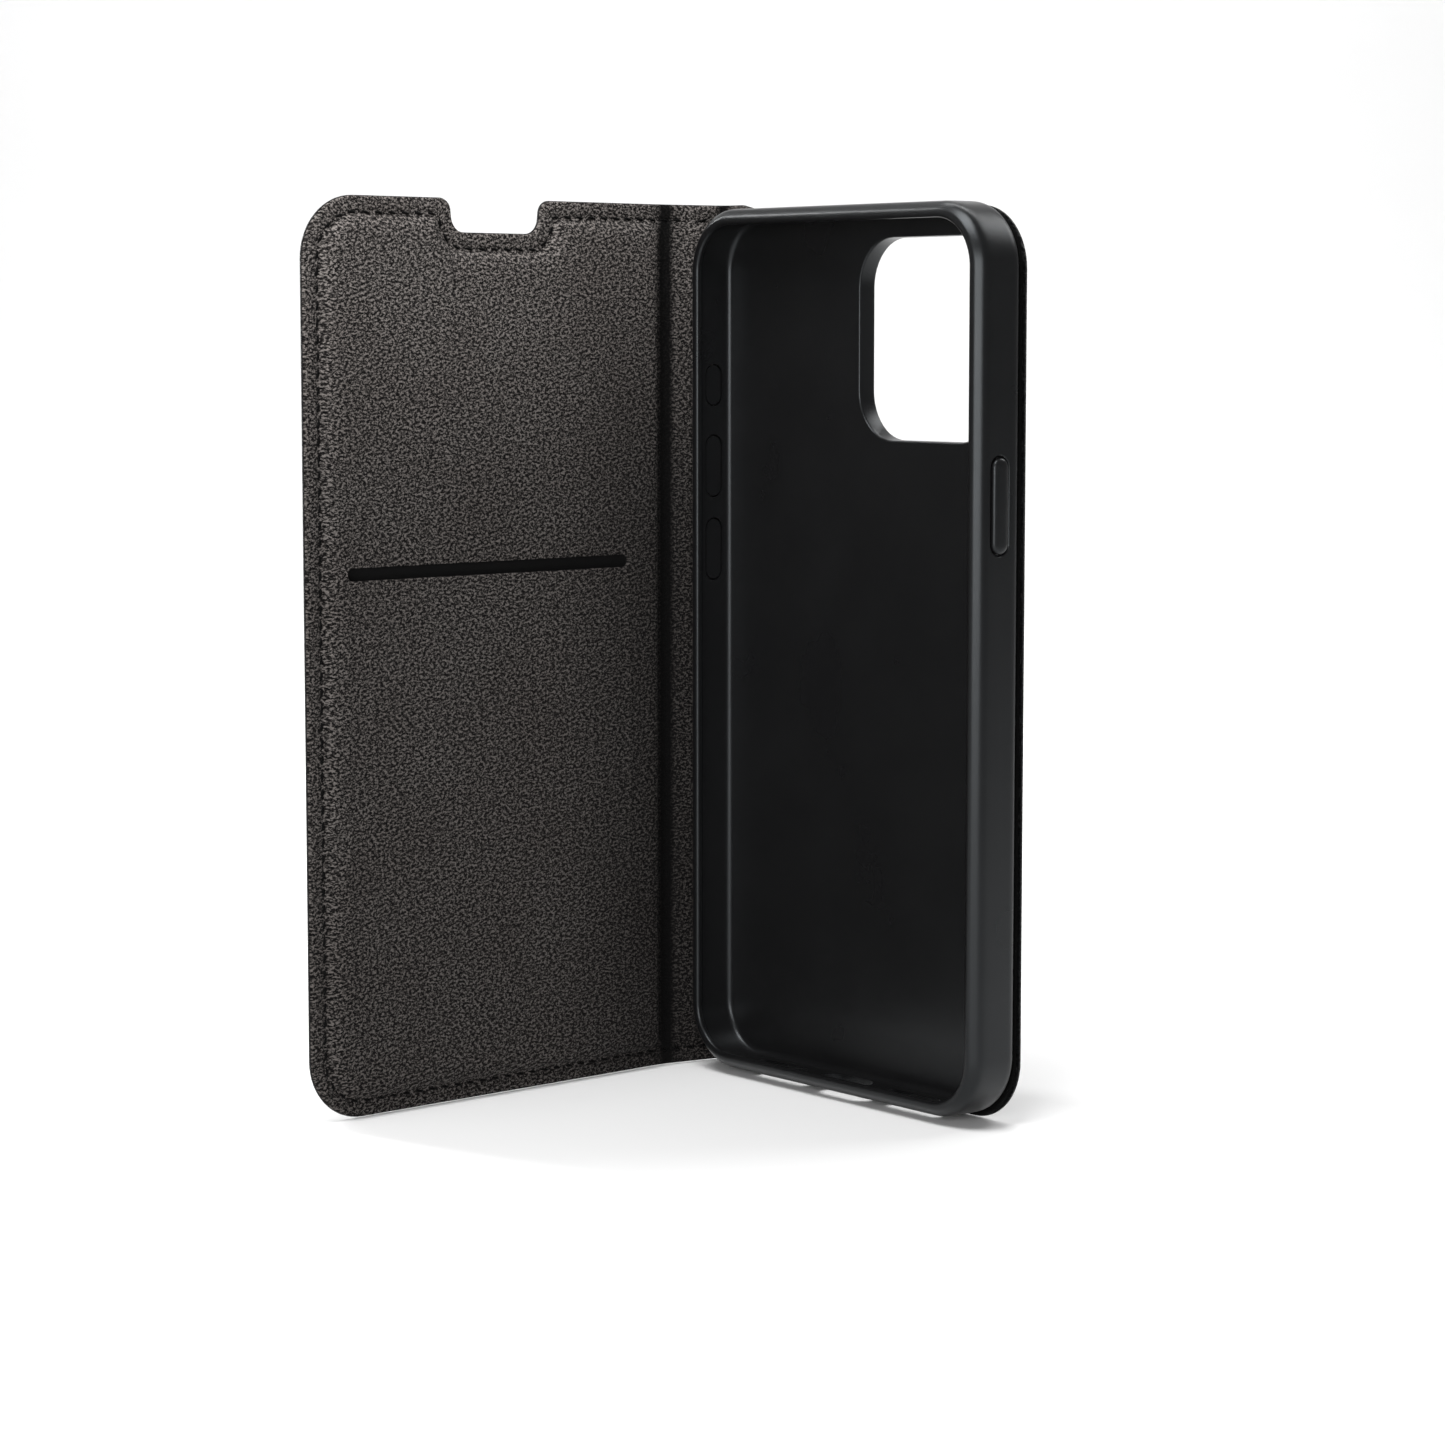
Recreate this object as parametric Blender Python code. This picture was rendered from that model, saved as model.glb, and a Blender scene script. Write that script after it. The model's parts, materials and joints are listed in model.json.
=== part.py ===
"""Folio wallet case for a 6.7 inch class phone, standing open at a right angle.

Metres, +Z up. The case stands on its bottom edges. The phone tray lies along X and opens towards -Y,
and the cover points roughly along -Y with its lined inner face towards +X. The spine joins the two.
The origin is the centre of the bottom of the object's bounding box.

Every panel is drawn in its own panel coordinates: u runs along the panel from its fold axis, s is the
depth from the outer leather face inwards, and z is up. The fold axes are vertical, at depth AXIS_DEPTH.
"""

import math

import bmesh
import bpy

# The phone that the tray holds
PHONE_WIDTH = 0.0778
PHONE_HEIGHT = 0.1609
PHONE_THICKNESS = 0.0078
PHONE_CLEARANCE = 0.0001
PHONE_CORNER = 0.0100

# Sheet thicknesses, and the gap kept between neighbours
SKIN = 0.0007
LINING = 0.0005
BOARD = 0.0007
SPACER = 0.0006
STIFFENER = 0.0003
ADHESIVE = 0.0002
GAP = 0.0002

# Tray walls
SHELL_WALL = 0.0018
SHELL_FLOOR = 0.0012
LIP_HEIGHT = 0.0012
LIP_REACH = 0.0012
# Rounded stretches of the tray's section: (distance in from the outline, distance from the nearest face)
SHELL_BACK_EDGE = ((0.0020, 0.0), (0.0007, 0.0005), (0.0, 0.0018))
SHELL_SHOULDER = ((0.0, 0.0034), (0.0002, 0.0015), (0.0008, 0.0004), (0.0017, 0.0))
LIP_EDGE = ((-0.0006, 0.0), (0.0, 0.0005))
FLOOR_EDGE = ((0.0, 0.0014), (0.0005, 0.0004), (0.0014, 0.0))
UNDER_LIP_SLOPE = 0.0001
ADHESIVE_INSET = 0.0040

# Folding panels
CASE_HEIGHT = 0.1670
COVER_OVERHANG = 0.0009
COVER_CORNER = 0.0115
FOLD_HALF = 0.0015
BACK_BEND = math.radians(80)  # of the fold between tray and spine, at rest
COVER_BEND = math.radians(13)  # of the fold between spine and cover, at rest
CLOSED_CLEARANCE = 0.0005
HEM = 0.0039
SEAM_INSET = 0.0030
BACK_INSET = 0.0006
BACK_SLOPE = 0.0100
SPINE_CLEARANCE = 0.0004
STIFFENER_INSET = 0.0012
CUT_CORNER = 0.0003  # of a sheet cut square
LEAST_RADIUS = 0.0002

# Earpiece notch in the cover's top edge
NOTCH_CENTRE = 0.0408
NOTCH_TOP = 0.0214
NOTCH_BOTTOM = 0.0202
NOTCH_DEPTH = 0.0062
NOTCH_LIP_RADIUS = 0.0024
NOTCH_FLOOR_RADIUS = 0.0031
NOTCH_LEAST_RADIUS = 0.0009  # of a line sewn or pressed round the notch's upper corners
NOTCH_MOST_RADIUS = 0.0055  # and round its lower ones

# Card pocket: a slot in the lining, open downwards behind it
SLOT_CENTRE_U = 0.0436
SLOT_CENTRE_Z = 0.0993
SLOT_LENGTH = 0.0665
SLOT_HEIGHT = 0.0024
POCKET_BOTTOM = 0.0177
POCKET_CORNER = 0.0010
SLOT_END_RADIUS = 0.99 * SLOT_HEIGHT / 2

# The cover's boards, and the lining's raised pan over them
BOARD_INSET, BOARD_FOLD_INSET, BOARD_CORNER = HEM + 0.0015, 0.0026, 0.0030
PAN_FOLD_INSET, PAN_CORNER, PAN_WALL = 0.0010, 0.0030, 0.0006
# The pan's rounded edge: (distance in from its foot, depth below its top)
PAN_EDGE = ((0.0018, 0.0), (0.0009, 0.0002), (0.0003, 0.0007))
PAN_INNER_FOOT = 0.0004

# Camera window
WINDOW_WIDTH = 0.0360
WINDOW_HEIGHT = 0.0370
WINDOW_CORNER = 0.0090
WINDOW_MARGIN = 0.0042
CAMERA_RIM_WALL = 0.0013
CAMERA_RIM_PROUD = 0.0008
WINDOW_CLEARANCE = 0.0003

# Buttons: name, side of the tray, distance of the centre below the phone's top, length
BUTTONS = (
    ("power_button", "right", 0.0520, 0.0170),
    ("action_button", "left", 0.0315, 0.0075),
    ("volume_up_button", "left", 0.0470, 0.0115),
    ("volume_down_button", "left", 0.0630, 0.0115),
)
BUTTON_WIDTH = 0.0036
BUTTON_END_ROUNDING = 0.9  # share of its half width
BUTTON_PROUD = 0.0006
BUTTON_CLEARANCE = 0.0003

# Charging port and the two grille slots in the tray's bottom wall
PORT_WIDTH, PORT_HEIGHT = 0.0130, 0.0058
GRILLE_WIDTH, GRILLE_HEIGHT, GRILLE_OFFSET = 0.0140, 0.0028, 0.0185
END_SLOT_ROUNDING = 0.99  # share of its half height

# Sewing thread and the groove that it lies in
OUTER_THREAD, OUTER_GROOVE = 0.00020, 0.00040
INNER_THREAD, INNER_GROOVE = 0.00015, 0.00030
THREAD_SIDES = 6

ARC_STEPS = 8
FOLD_STEPS = 6
CUT = 0.004  # how far a cutter runs past the wall that it cuts
SMOOTH_BELOW = math.radians(35)

# Finishes: name, colour, roughness
FINISHES = {
    "leather": ("black_grained_leather", (0.012, 0.012, 0.013), 0.42),
    "microfibre": ("grey_microfibre", (0.060, 0.056, 0.054), 0.95),
    "tpu": ("black_tpu", (0.015, 0.015, 0.016), 0.45),
    "board": ("grey_board", (0.200, 0.190, 0.180), 0.85),
    "adhesive": ("clear_adhesive", (0.500, 0.480, 0.420), 0.30),
    "thread": ("black_thread", (0.010, 0.010, 0.010), 0.60),
}

# Depths worked out from the above: each layer's outer and inner face
AXIS_DEPTH = SKIN
SKIN_LAYER = (0.0, SKIN)
HEM_LAYER = (SKIN + GAP, SKIN + GAP + LINING)
BOARD_LAYER = (SKIN + GAP, SKIN + GAP + BOARD)
SPACER_LAYER = (BOARD_LAYER[1] + GAP, BOARD_LAYER[1] + GAP + SPACER)
RAISED_LAYER = (SPACER_LAYER[1] + GAP, SPACER_LAYER[1] + GAP + LINING)
STIFFENER_LAYER = (SKIN + GAP, SKIN + GAP + STIFFENER)
SPINE_LINING_LAYER = (STIFFENER_LAYER[1] + GAP, STIFFENER_LAYER[1] + GAP + LINING)
ADHESIVE_LAYER = (HEM_LAYER[1] + GAP, HEM_LAYER[1] + GAP + ADHESIVE)

# Tray sizes and places, with u measured from the back fold's axis
CAVITY_WIDTH = PHONE_WIDTH + 2 * PHONE_CLEARANCE
CAVITY_HEIGHT = PHONE_HEIGHT + 2 * PHONE_CLEARANCE
SHELL_WIDTH = CAVITY_WIDTH + 2 * SHELL_WALL
SHELL_HEIGHT = CAVITY_HEIGHT + 2 * SHELL_WALL
SHELL_DEPTH = SHELL_FLOOR + PHONE_THICKNESS + PHONE_CLEARANCE + LIP_HEIGHT
SHELL_CORNER = PHONE_CORNER + SHELL_WALL
SHELL_BACK = ADHESIVE_LAYER[1] + GAP
SHELL_FRONT = SHELL_BACK + SHELL_DEPTH
SHELL_LEFT = SPINE_LINING_LAYER[1] - AXIS_DEPTH + SPINE_CLEARANCE + BUTTON_PROUD
SHELL_RIGHT = SHELL_LEFT + SHELL_WIDTH
SHELL_BOTTOM = (CASE_HEIGHT - SHELL_HEIGHT) / 2
SHELL_TOP = SHELL_BOTTOM + SHELL_HEIGHT
PHONE_TOP = SHELL_TOP - SHELL_WALL
PHONE_MIDDLE = SHELL_BACK + SHELL_FLOOR + PHONE_THICKNESS / 2
WINDOW_U = SHELL_RIGHT - SHELL_WALL - WINDOW_MARGIN - WINDOW_WIDTH / 2
WINDOW_Z = PHONE_TOP - WINDOW_MARGIN - WINDOW_HEIGHT / 2

# Folded, the cover's lined face stops CLOSED_CLEARANCE in front of the tray's lip
CLOSED_THICKNESS = SHELL_FRONT + CLOSED_CLEARANCE + RAISED_LAYER[1]
SPINE_PITCH = CLOSED_THICKNESS - 2 * AXIS_DEPTH
COVER_WIDTH = SHELL_RIGHT + COVER_OVERHANG


def on_floor(u, s, heading, axis=(0.0, 0.0)):
    """Where a folding panel's point stands at rest, seen from the back fold's axis."""
    depth = s - AXIS_DEPTH
    return (
        axis[0] + u * math.cos(heading) - depth * math.sin(heading),
        axis[1] + u * math.sin(heading) + depth * math.cos(heading),
    )


# The bounding box at rest gives the place of the origin
SPINE_HEADING = math.pi + BACK_BEND
COVER_HEADING = SPINE_HEADING + COVER_BEND
COVER_AXIS = on_floor(SPINE_PITCH, AXIS_DEPTH, SPINE_HEADING)
BOX_LEFT = on_floor(FOLD_HALF + GAP, -OUTER_THREAD, COVER_HEADING, COVER_AXIS)[0]
BOX_FRONT = on_floor(COVER_WIDTH, 0.0, COVER_HEADING, COVER_AXIS)[1]
BOX_RIGHT = SHELL_RIGHT + BUTTON_PROUD
BOX_BACK = AXIS_DEPTH + CAMERA_RIM_PROUD
ORIGIN_TO_FOLD = (-(BOX_LEFT + BOX_RIGHT) / 2, -(BOX_FRONT + BOX_BACK) / 2, 0.0)

TRAY, FOLDING = -1, 1  # which way a panel's depth runs along its own local Y


def clear_scene():
    for obj in list(bpy.data.objects):
        bpy.data.objects.remove(obj)


def material(name, colour, roughness):
    made = bpy.data.materials.new(name)
    made.use_nodes = True
    shader = made.node_tree.nodes["Principled BSDF"]
    shader.inputs["Base Color"].default_value = (*colour, 1.0)
    shader.inputs["Roughness"].default_value = roughness
    shader.inputs["Metallic"].default_value = 0.0
    made.diffuse_color = (*colour, 1.0)
    return made


def empty(name, parent, location, turn):
    made = bpy.data.objects.new(name, None)
    made.parent = parent
    made.location = location
    made.rotation_euler = (0.0, 0.0, turn)
    bpy.context.scene.collection.objects.link(made)
    return made


def mesh_object(name, points, faces, parent, finish=None):
    """A closed mesh whose faces are turned to point out."""
    mesh = bpy.data.meshes.new(name)
    mesh.from_pydata(points, [], faces)
    shape = bmesh.new()
    shape.from_mesh(mesh)
    bmesh.ops.recalc_face_normals(shape, faces=shape.faces)
    shape.to_mesh(mesh)
    shape.free()
    mesh.shade_smooth()
    mesh.set_sharp_from_angle(angle=SMOOTH_BELOW)
    made = bpy.data.objects.new(name, mesh)
    made.parent = parent
    if finish:
        mesh.materials.append(finish)
    bpy.context.scene.collection.objects.link(made)
    return made


def cut(target, cutter, operation="DIFFERENCE"):
    """Adds a Boolean, and hides the cutter from the build."""
    cutter.hide_render = True
    cutter.display_type = "WIRE"
    modifier = target.modifiers.new(cutter.name, "BOOLEAN")
    modifier.operation = operation
    modifier.solver = "EXACT"
    modifier.object = cutter


def rounded(corners, insets):
    """The outline of a polygon with rounded corners, moved inwards.

    corners lists (u, z, radius) anticlockwise, and insets how far each edge moves in, the first edge
    being the one from corner 0 to corner 1. Each corner gives ARC_STEPS + 1 points, so two outlines of
    the same polygon match point for point.
    """
    count = len(corners)
    lines = []
    for i in range(count):
        a, b = corners[i], corners[(i + 1) % count]
        length = math.hypot(b[0] - a[0], b[1] - a[1])
        along = ((b[0] - a[0]) / length, (b[1] - a[1]) / length)
        inwards = (-along[1], along[0])
        lines.append(((a[0] + inwards[0] * insets[i], a[1] + inwards[1] * insets[i]), along))
    outline = []
    for i in range(count):
        (p, d), (q, e) = lines[i - 1], lines[i]
        turn = d[0] * e[1] - d[1] * e[0]
        reach = ((q[0] - p[0]) * e[1] - (q[1] - p[1]) * e[0]) / turn
        vertex = (p[0] + d[0] * reach, p[1] + d[1] * reach)
        inset = min(insets[i - 1], insets[i])
        radius = max(corners[i][2] - math.copysign(inset, turn), LEAST_RADIUS)
        angle = math.atan2(turn, d[0] * e[0] + d[1] * e[1])
        side = math.copysign(radius, turn)
        tangent = radius * math.tan(abs(angle) / 2)
        start = (vertex[0] - d[0] * tangent, vertex[1] - d[1] * tangent)
        centre = (start[0] - d[1] * side, start[1] + d[0] * side)
        for step in range(ARC_STEPS + 1):
            part = angle * step / ARC_STEPS
            spoke = (d[1] * side, -d[0] * side)
            outline.append(
                (
                    centre[0] + spoke[0] * math.cos(part) - spoke[1] * math.sin(part),
                    centre[1] + spoke[0] * math.sin(part) + spoke[1] * math.cos(part),
                )
            )
    return outline


def box_outline(left, right, bottom, top, radius):
    corners = [(left, bottom, radius), (right, bottom, radius), (right, top, radius), (left, top, radius)]
    return rounded(corners, [0.0] * 4)


def cover_outline(inset, fold_inset, fold_radius=CUT_CORNER):
    """The cover's outline with its notch. The fold side moves in by fold_inset and the rest by inset."""
    left, right = NOTCH_CENTRE - NOTCH_TOP / 2, NOTCH_CENTRE + NOTCH_TOP / 2
    floor_left, floor_right = NOTCH_CENTRE - NOTCH_BOTTOM / 2, NOTCH_CENTRE + NOTCH_BOTTOM / 2
    floor = CASE_HEIGHT - NOTCH_DEPTH
    near = min(inset, fold_inset)
    upper = max(NOTCH_LIP_RADIUS, NOTCH_LEAST_RADIUS + inset)
    lower = min(NOTCH_FLOOR_RADIUS, NOTCH_MOST_RADIUS - inset)
    corners = [
        (FOLD_HALF, 0.0, fold_radius + near),
        (COVER_WIDTH, 0.0, COVER_CORNER),
        (COVER_WIDTH, CASE_HEIGHT, COVER_CORNER),
        (right, CASE_HEIGHT, upper),
        (floor_right, floor, lower),
        (floor_left, floor, lower),
        (left, CASE_HEIGHT, upper),
        (FOLD_HALF, CASE_HEIGHT, fold_radius + near),
    ]
    return rounded(corners, [inset] * 7 + [fold_inset])


def spine_outline(inset):
    left, right = FOLD_HALF, SPINE_PITCH - FOLD_HALF
    return box_outline(left + inset, right - inset, inset, CASE_HEIGHT - inset, CUT_CORNER)


def back_outline(inset, fold_inset):
    """The back panel: full height beside the spine, then just inside the tray's own outline at the top."""
    top, right = SHELL_TOP - BACK_INSET, SHELL_RIGHT - BACK_INSET
    near = min(inset, fold_inset)
    corners = [
        (FOLD_HALF, 0.0, CUT_CORNER + near),
        (right, 0.0, COVER_CORNER),
        (right, top, COVER_CORNER),
        (FOLD_HALF + BACK_SLOPE, top, BACK_SLOPE),
        (FOLD_HALF, CASE_HEIGHT, CUT_CORNER + near),
    ]
    return rounded(corners, [inset] * 4 + [fold_inset])


def shell_outline(inset):
    corners = [
        (SHELL_LEFT, SHELL_BOTTOM, SHELL_CORNER),
        (SHELL_RIGHT, SHELL_BOTTOM, SHELL_CORNER),
        (SHELL_RIGHT, SHELL_TOP, SHELL_CORNER),
        (SHELL_LEFT, SHELL_TOP, SHELL_CORNER),
    ]
    return rounded(corners, [inset] * 4)


def window_outline(grow):
    half_width, half_height = WINDOW_WIDTH / 2 + grow, WINDOW_HEIGHT / 2 + grow
    return box_outline(
        WINDOW_U - half_width,
        WINDOW_U + half_width,
        WINDOW_Z - half_height,
        WINDOW_Z + half_height,
        WINDOW_CORNER + grow,
    )


def ring_solid(name, rings, parent, way, finish=None):
    """A closed solid through matching outlines, each at its own depth s, capped at both ends."""
    points, faces = [], []
    size = len(rings[0][0])
    for outline, depth in rings:
        points += [(u, way * (depth - AXIS_DEPTH), z) for u, z in outline]
    for level in range(len(rings) - 1):
        low, high = level * size, (level + 1) * size
        for i in range(size):
            j = (i + 1) % size
            faces.append((low + i, low + j, high + j, high + i))
    faces.append(tuple(range(size)))
    last = (len(rings) - 1) * size
    faces.append(tuple(range(last, last + size)))
    return mesh_object(name, points, faces, parent, finish)


def sheet(name, outline, layer, parent, way, finish=None):
    return ring_solid(name, [(outline, layer[0]), (outline, layer[1])], parent, way, finish)


def thread(name, path, depth, radius, parent, way, finish=None):
    """A round tube along a path on a panel's face, mitred at each bend, with flat ends."""
    points, faces = [], []
    count = len(path)
    for i, (u, z) in enumerate(path):
        before, after = path[max(i - 1, 0)], path[min(i + 1, count - 1)]
        into = math.atan2(z - before[1], u - before[0]) if i else None
        out = math.atan2(after[1] - z, after[0] - u) if i < count - 1 else None
        into = out if into is None else into
        out = into if out is None else out
        bend = math.remainder(out - into, 2 * math.pi)
        heading = into + bend / 2
        widen = radius / math.cos(bend / 2)
        for side in range(THREAD_SIDES):
            angle = 2 * math.pi * (side + 0.5) / THREAD_SIDES
            across, deep = math.cos(angle) * widen, math.sin(angle) * radius
            place = (u - math.sin(heading) * across, z + math.cos(heading) * across)
            points.append((place[0], way * (depth + deep - AXIS_DEPTH), place[1]))
    for i in range(count - 1):
        for side in range(THREAD_SIDES):
            beside = (side + 1) % THREAD_SIDES
            low, high = i * THREAD_SIDES, (i + 1) * THREAD_SIDES
            faces.append((low + side, low + beside, high + beside, high + side))
    faces.append(tuple(range(THREAD_SIDES)))
    faces.append(tuple(range((count - 1) * THREAD_SIDES, count * THREAD_SIDES)))
    return mesh_object(name, points, faces, parent, finish)


def without_close_points(path):
    """The path with points nearer than a thread's width to the one before left out."""
    kept = [path[0]]
    for point in path[1:]:
        if math.dist(point, kept[-1]) > OUTER_THREAD:
            kept.append(point)
    return kept


def seam(name, panel, path, depth, radius, groove, parent, way, finish):
    """A sewn run: a groove in the panel, longer than the path at both ends, and the thread in it."""
    path = without_close_points(path)
    (u0, z0), (u1, z1) = path[0], path[1]
    (u2, z2), (u3, z3) = path[-1], path[-2]
    before = CUT / math.dist(path[0], path[1])
    after = CUT / math.dist(path[-1], path[-2])
    longer = [(u0 - (u1 - u0) * before, z0 - (z1 - z0) * before), *path[1:-1]]
    longer.append((u2 + (u2 - u3) * after, z2 + (z2 - z3) * after))
    cut(panel, thread(name + "_groove", longer, depth, groove, parent, way))
    return thread(name, path, depth, radius, parent, way, finish)


def open_run(outline):
    """A panel's outline from the bottom of its fold side round to the top of it, as sewn."""
    fold_corner = ARC_STEPS // 2
    return outline[fold_corner : len(outline) - fold_corner]


def fold_strip(name, layer, bend, parent, finish):
    """The bent part of a sheet between two panels: an arc about the fold, tangent to both.

    It is drawn in the coordinates of the panel on the root's side, whose own fold axis is the parent.
    """
    radius = FOLD_HALF / math.tan(bend / 2)
    clear = 0.5 * GAP / radius
    # The arc starts on the root side's edge and turns inwards about this centre
    centre_u, centre_s = -FOLD_HALF, AXIS_DEPTH + radius
    inner, outer = radius + AXIS_DEPTH - layer[1], radius + AXIS_DEPTH - layer[0]
    section = []
    for reach, order in ((outer, range(FOLD_STEPS + 1)), (inner, range(FOLD_STEPS, -1, -1))):
        for step in order:
            angle = clear + (bend - 2 * clear) * step / FOLD_STEPS
            section.append((centre_u + reach * math.sin(angle), centre_s - reach * math.cos(angle)))
    low, high = GAP, CASE_HEIGHT - GAP
    size = len(section)
    points = [(u, FOLDING * (s - AXIS_DEPTH), z) for z in (low, high) for u, s in section]
    faces = [(i, (i + 1) % size, size + (i + 1) % size, size + i) for i in range(size)]
    faces += [tuple(range(size)), tuple(range(size, 2 * size))]
    return mesh_object(name, points, faces, parent, finish)


def make_back(parent, finishes):
    """The leather and lining behind the tray, with the camera window, and the glue that holds the tray."""
    opening = CAMERA_RIM_WALL + WINDOW_CLEARANCE
    skin = sheet("back_skin", back_outline(0.0, 0.0), SKIN_LAYER, parent, TRAY, finishes["leather"])
    lining = sheet("back_lining", back_outline(GAP, GAP), HEM_LAYER, parent, TRAY, finishes["microfibre"])
    pad = shell_outline(ADHESIVE_INSET)
    glue = sheet("shell_adhesive", pad, ADHESIVE_LAYER, parent, TRAY, finishes["adhesive"])
    for layer, panel in (("skin", skin), ("lining", lining), ("glue", glue)):
        window = window_outline(opening)
        cut(panel, sheet(layer + "_window", window, (-CUT, SHELL_BACK + CUT), parent, TRAY))
    run = open_run(back_outline(SEAM_INSET, GAP))
    seam("back_thread", skin, run, 0.0, OUTER_THREAD, OUTER_GROOVE, parent, TRAY, finishes["thread"])


def shell_rings():
    """The tray's section from the middle of its back, up the outside, over the lip and down inside."""
    floor, under_lip = SHELL_BACK + SHELL_FLOOR, SHELL_FRONT - LIP_HEIGHT
    mouth = SHELL_WALL + LIP_REACH
    section = [(inset, SHELL_BACK + rise) for inset, rise in SHELL_BACK_EDGE]
    section += [(inset, SHELL_FRONT - drop) for inset, drop in SHELL_SHOULDER]
    section += [(mouth + inset, SHELL_FRONT - drop) for inset, drop in LIP_EDGE]
    section += [(mouth, under_lip), (SHELL_WALL, under_lip - UNDER_LIP_SLOPE)]
    section += [(SHELL_WALL + inset, floor + rise) for inset, rise in FLOOR_EDGE]
    return [(shell_outline(inset), depth) for inset, depth in section]


def side_box(name, u_range, s_range, z_range, radius, parent):
    """A bar along u with its edges along u rounded, as a cutter or a button."""
    section = box_outline(s_range[0], s_range[1], z_range[0], z_range[1], radius)
    size = len(section)
    points = [(u, TRAY * (s - AXIS_DEPTH), z) for u in u_range for s, z in section]
    faces = [(i, (i + 1) % size, size + (i + 1) % size, size + i) for i in range(size)]
    faces += [tuple(range(size)), tuple(range(size, 2 * size))]
    return mesh_object(name, points, faces, parent)


def end_slot(name, centre_u, width, height, parent):
    """A cutter down through the tray's bottom wall, with round ends."""
    s_range = (PHONE_MIDDLE - height / 2, PHONE_MIDDLE + height / 2)
    radius = END_SLOT_ROUNDING * height / 2
    section = box_outline(centre_u - width / 2, centre_u + width / 2, *s_range, radius)
    size = len(section)
    z_range = (SHELL_BOTTOM - CUT, SHELL_BOTTOM + SHELL_WALL + CUT / 2)
    points = [(u, TRAY * (s - AXIS_DEPTH), z) for z in z_range for u, s in section]
    faces = [(i, (i + 1) % size, size + (i + 1) % size, size + i) for i in range(size)]
    faces += [tuple(range(size)), tuple(range(size, 2 * size))]
    return mesh_object(name, points, faces, parent)


def make_tray(parent, finishes):
    """The moulded tray with its camera rim, its openings and the four buttons in its side walls."""
    shell = ring_solid("phone_shell", shell_rings(), parent, TRAY, finishes["tpu"])
    rim_depth = (-CAMERA_RIM_PROUD, SHELL_BACK + SHELL_FLOOR / 2)
    rim = sheet("camera_rim", window_outline(CAMERA_RIM_WALL), rim_depth, parent, TRAY)
    cut(shell, rim, "UNION")
    window_depth = (-CUT, SHELL_BACK + SHELL_FLOOR + CUT)
    cut(shell, sheet("camera_window", window_outline(0.0), window_depth, parent, TRAY))
    middle = (SHELL_LEFT + SHELL_RIGHT) / 2
    cut(shell, end_slot("charging_port", middle, PORT_WIDTH, PORT_HEIGHT, parent))
    for side in (-1, 1):
        name = "grille_left" if side < 0 else "grille_right"
        place = middle + side * GRILLE_OFFSET
        cut(shell, end_slot(name, place, GRILLE_WIDTH, GRILLE_HEIGHT, parent))
    for name, side, below_top, length in BUTTONS:
        centre = PHONE_TOP - below_top
        if side == "right":
            wall = (SHELL_RIGHT - SHELL_WALL, SHELL_RIGHT)
            u_range = (wall[0] + GAP, wall[1] + BUTTON_PROUD)
        else:
            wall = (SHELL_LEFT, SHELL_LEFT + SHELL_WALL)
            u_range = (wall[0] - BUTTON_PROUD, wall[1] - GAP)
        wide, tall = BUTTON_WIDTH / 2, length / 2
        button = side_box(
            name,
            u_range,
            (PHONE_MIDDLE - wide, PHONE_MIDDLE + wide),
            (centre - tall, centre + tall),
            wide * BUTTON_END_ROUNDING,
            parent,
        )
        button.data.materials.append(finishes["tpu"])
        wide, tall = wide + BUTTON_CLEARANCE, tall + BUTTON_CLEARANCE
        opening = side_box(
            name + "_opening",
            (wall[0] - CUT / 4, wall[1] + CUT / 4),
            (PHONE_MIDDLE - wide, PHONE_MIDDLE + wide),
            (centre - tall, centre + tall),
            wide * BUTTON_END_ROUNDING,
            parent,
        )
        cut(shell, opening)


def make_spine(parent, finishes):
    """The spine's leather and lining, the stiffener between them, and the seams across its ends."""
    cloth, sewn = finishes["microfibre"], finishes["thread"]
    skin = sheet("spine_skin", spine_outline(0.0), SKIN_LAYER, parent, FOLDING, finishes["leather"])
    stiffener = spine_outline(STIFFENER_INSET)
    sheet("spine_stiffener", stiffener, STIFFENER_LAYER, parent, FOLDING, finishes["board"])
    lining = sheet("spine_lining", spine_outline(GAP), SPINE_LINING_LAYER, parent, FOLDING, cloth)
    left, right = FOLD_HALF + GAP, SPINE_PITCH - FOLD_HALF - GAP
    for end, z in (("top", CASE_HEIGHT - SEAM_INSET), ("bottom", SEAM_INSET)):
        run = [(left, z), (right, z)]
        seam("spine_thread_" + end, skin, run, 0.0, OUTER_THREAD, OUTER_GROOVE, parent, FOLDING, sewn)
        name, face = "spine_bobbin_thread_" + end, SPINE_LINING_LAYER[1]
        seam(name, lining, run, face, INNER_THREAD, INNER_GROOVE, parent, FOLDING, sewn)


def lining_rings():
    """The cover's lining: a flat hem, and a raised pan over the boards with softly rounded edges."""
    hem_out, hem_in = HEM_LAYER
    raised_out, raised_in = RAISED_LAYER
    hem = cover_outline(GAP, GAP)

    def outline(inset):
        return cover_outline(HEM + inset, PAN_FOLD_INSET + inset, PAN_CORNER)

    rings = [(outline(inset), raised_in - drop) for inset, drop in PAN_EDGE]
    rings += [(outline(0.0), hem_in), (hem, hem_in), (hem, hem_out), (outline(PAN_WALL), hem_out)]
    rings += [(outline(PAN_WALL), hem_in + PAN_INNER_FOOT), (outline(2 * PAN_WALL), raised_out)]
    return rings


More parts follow.
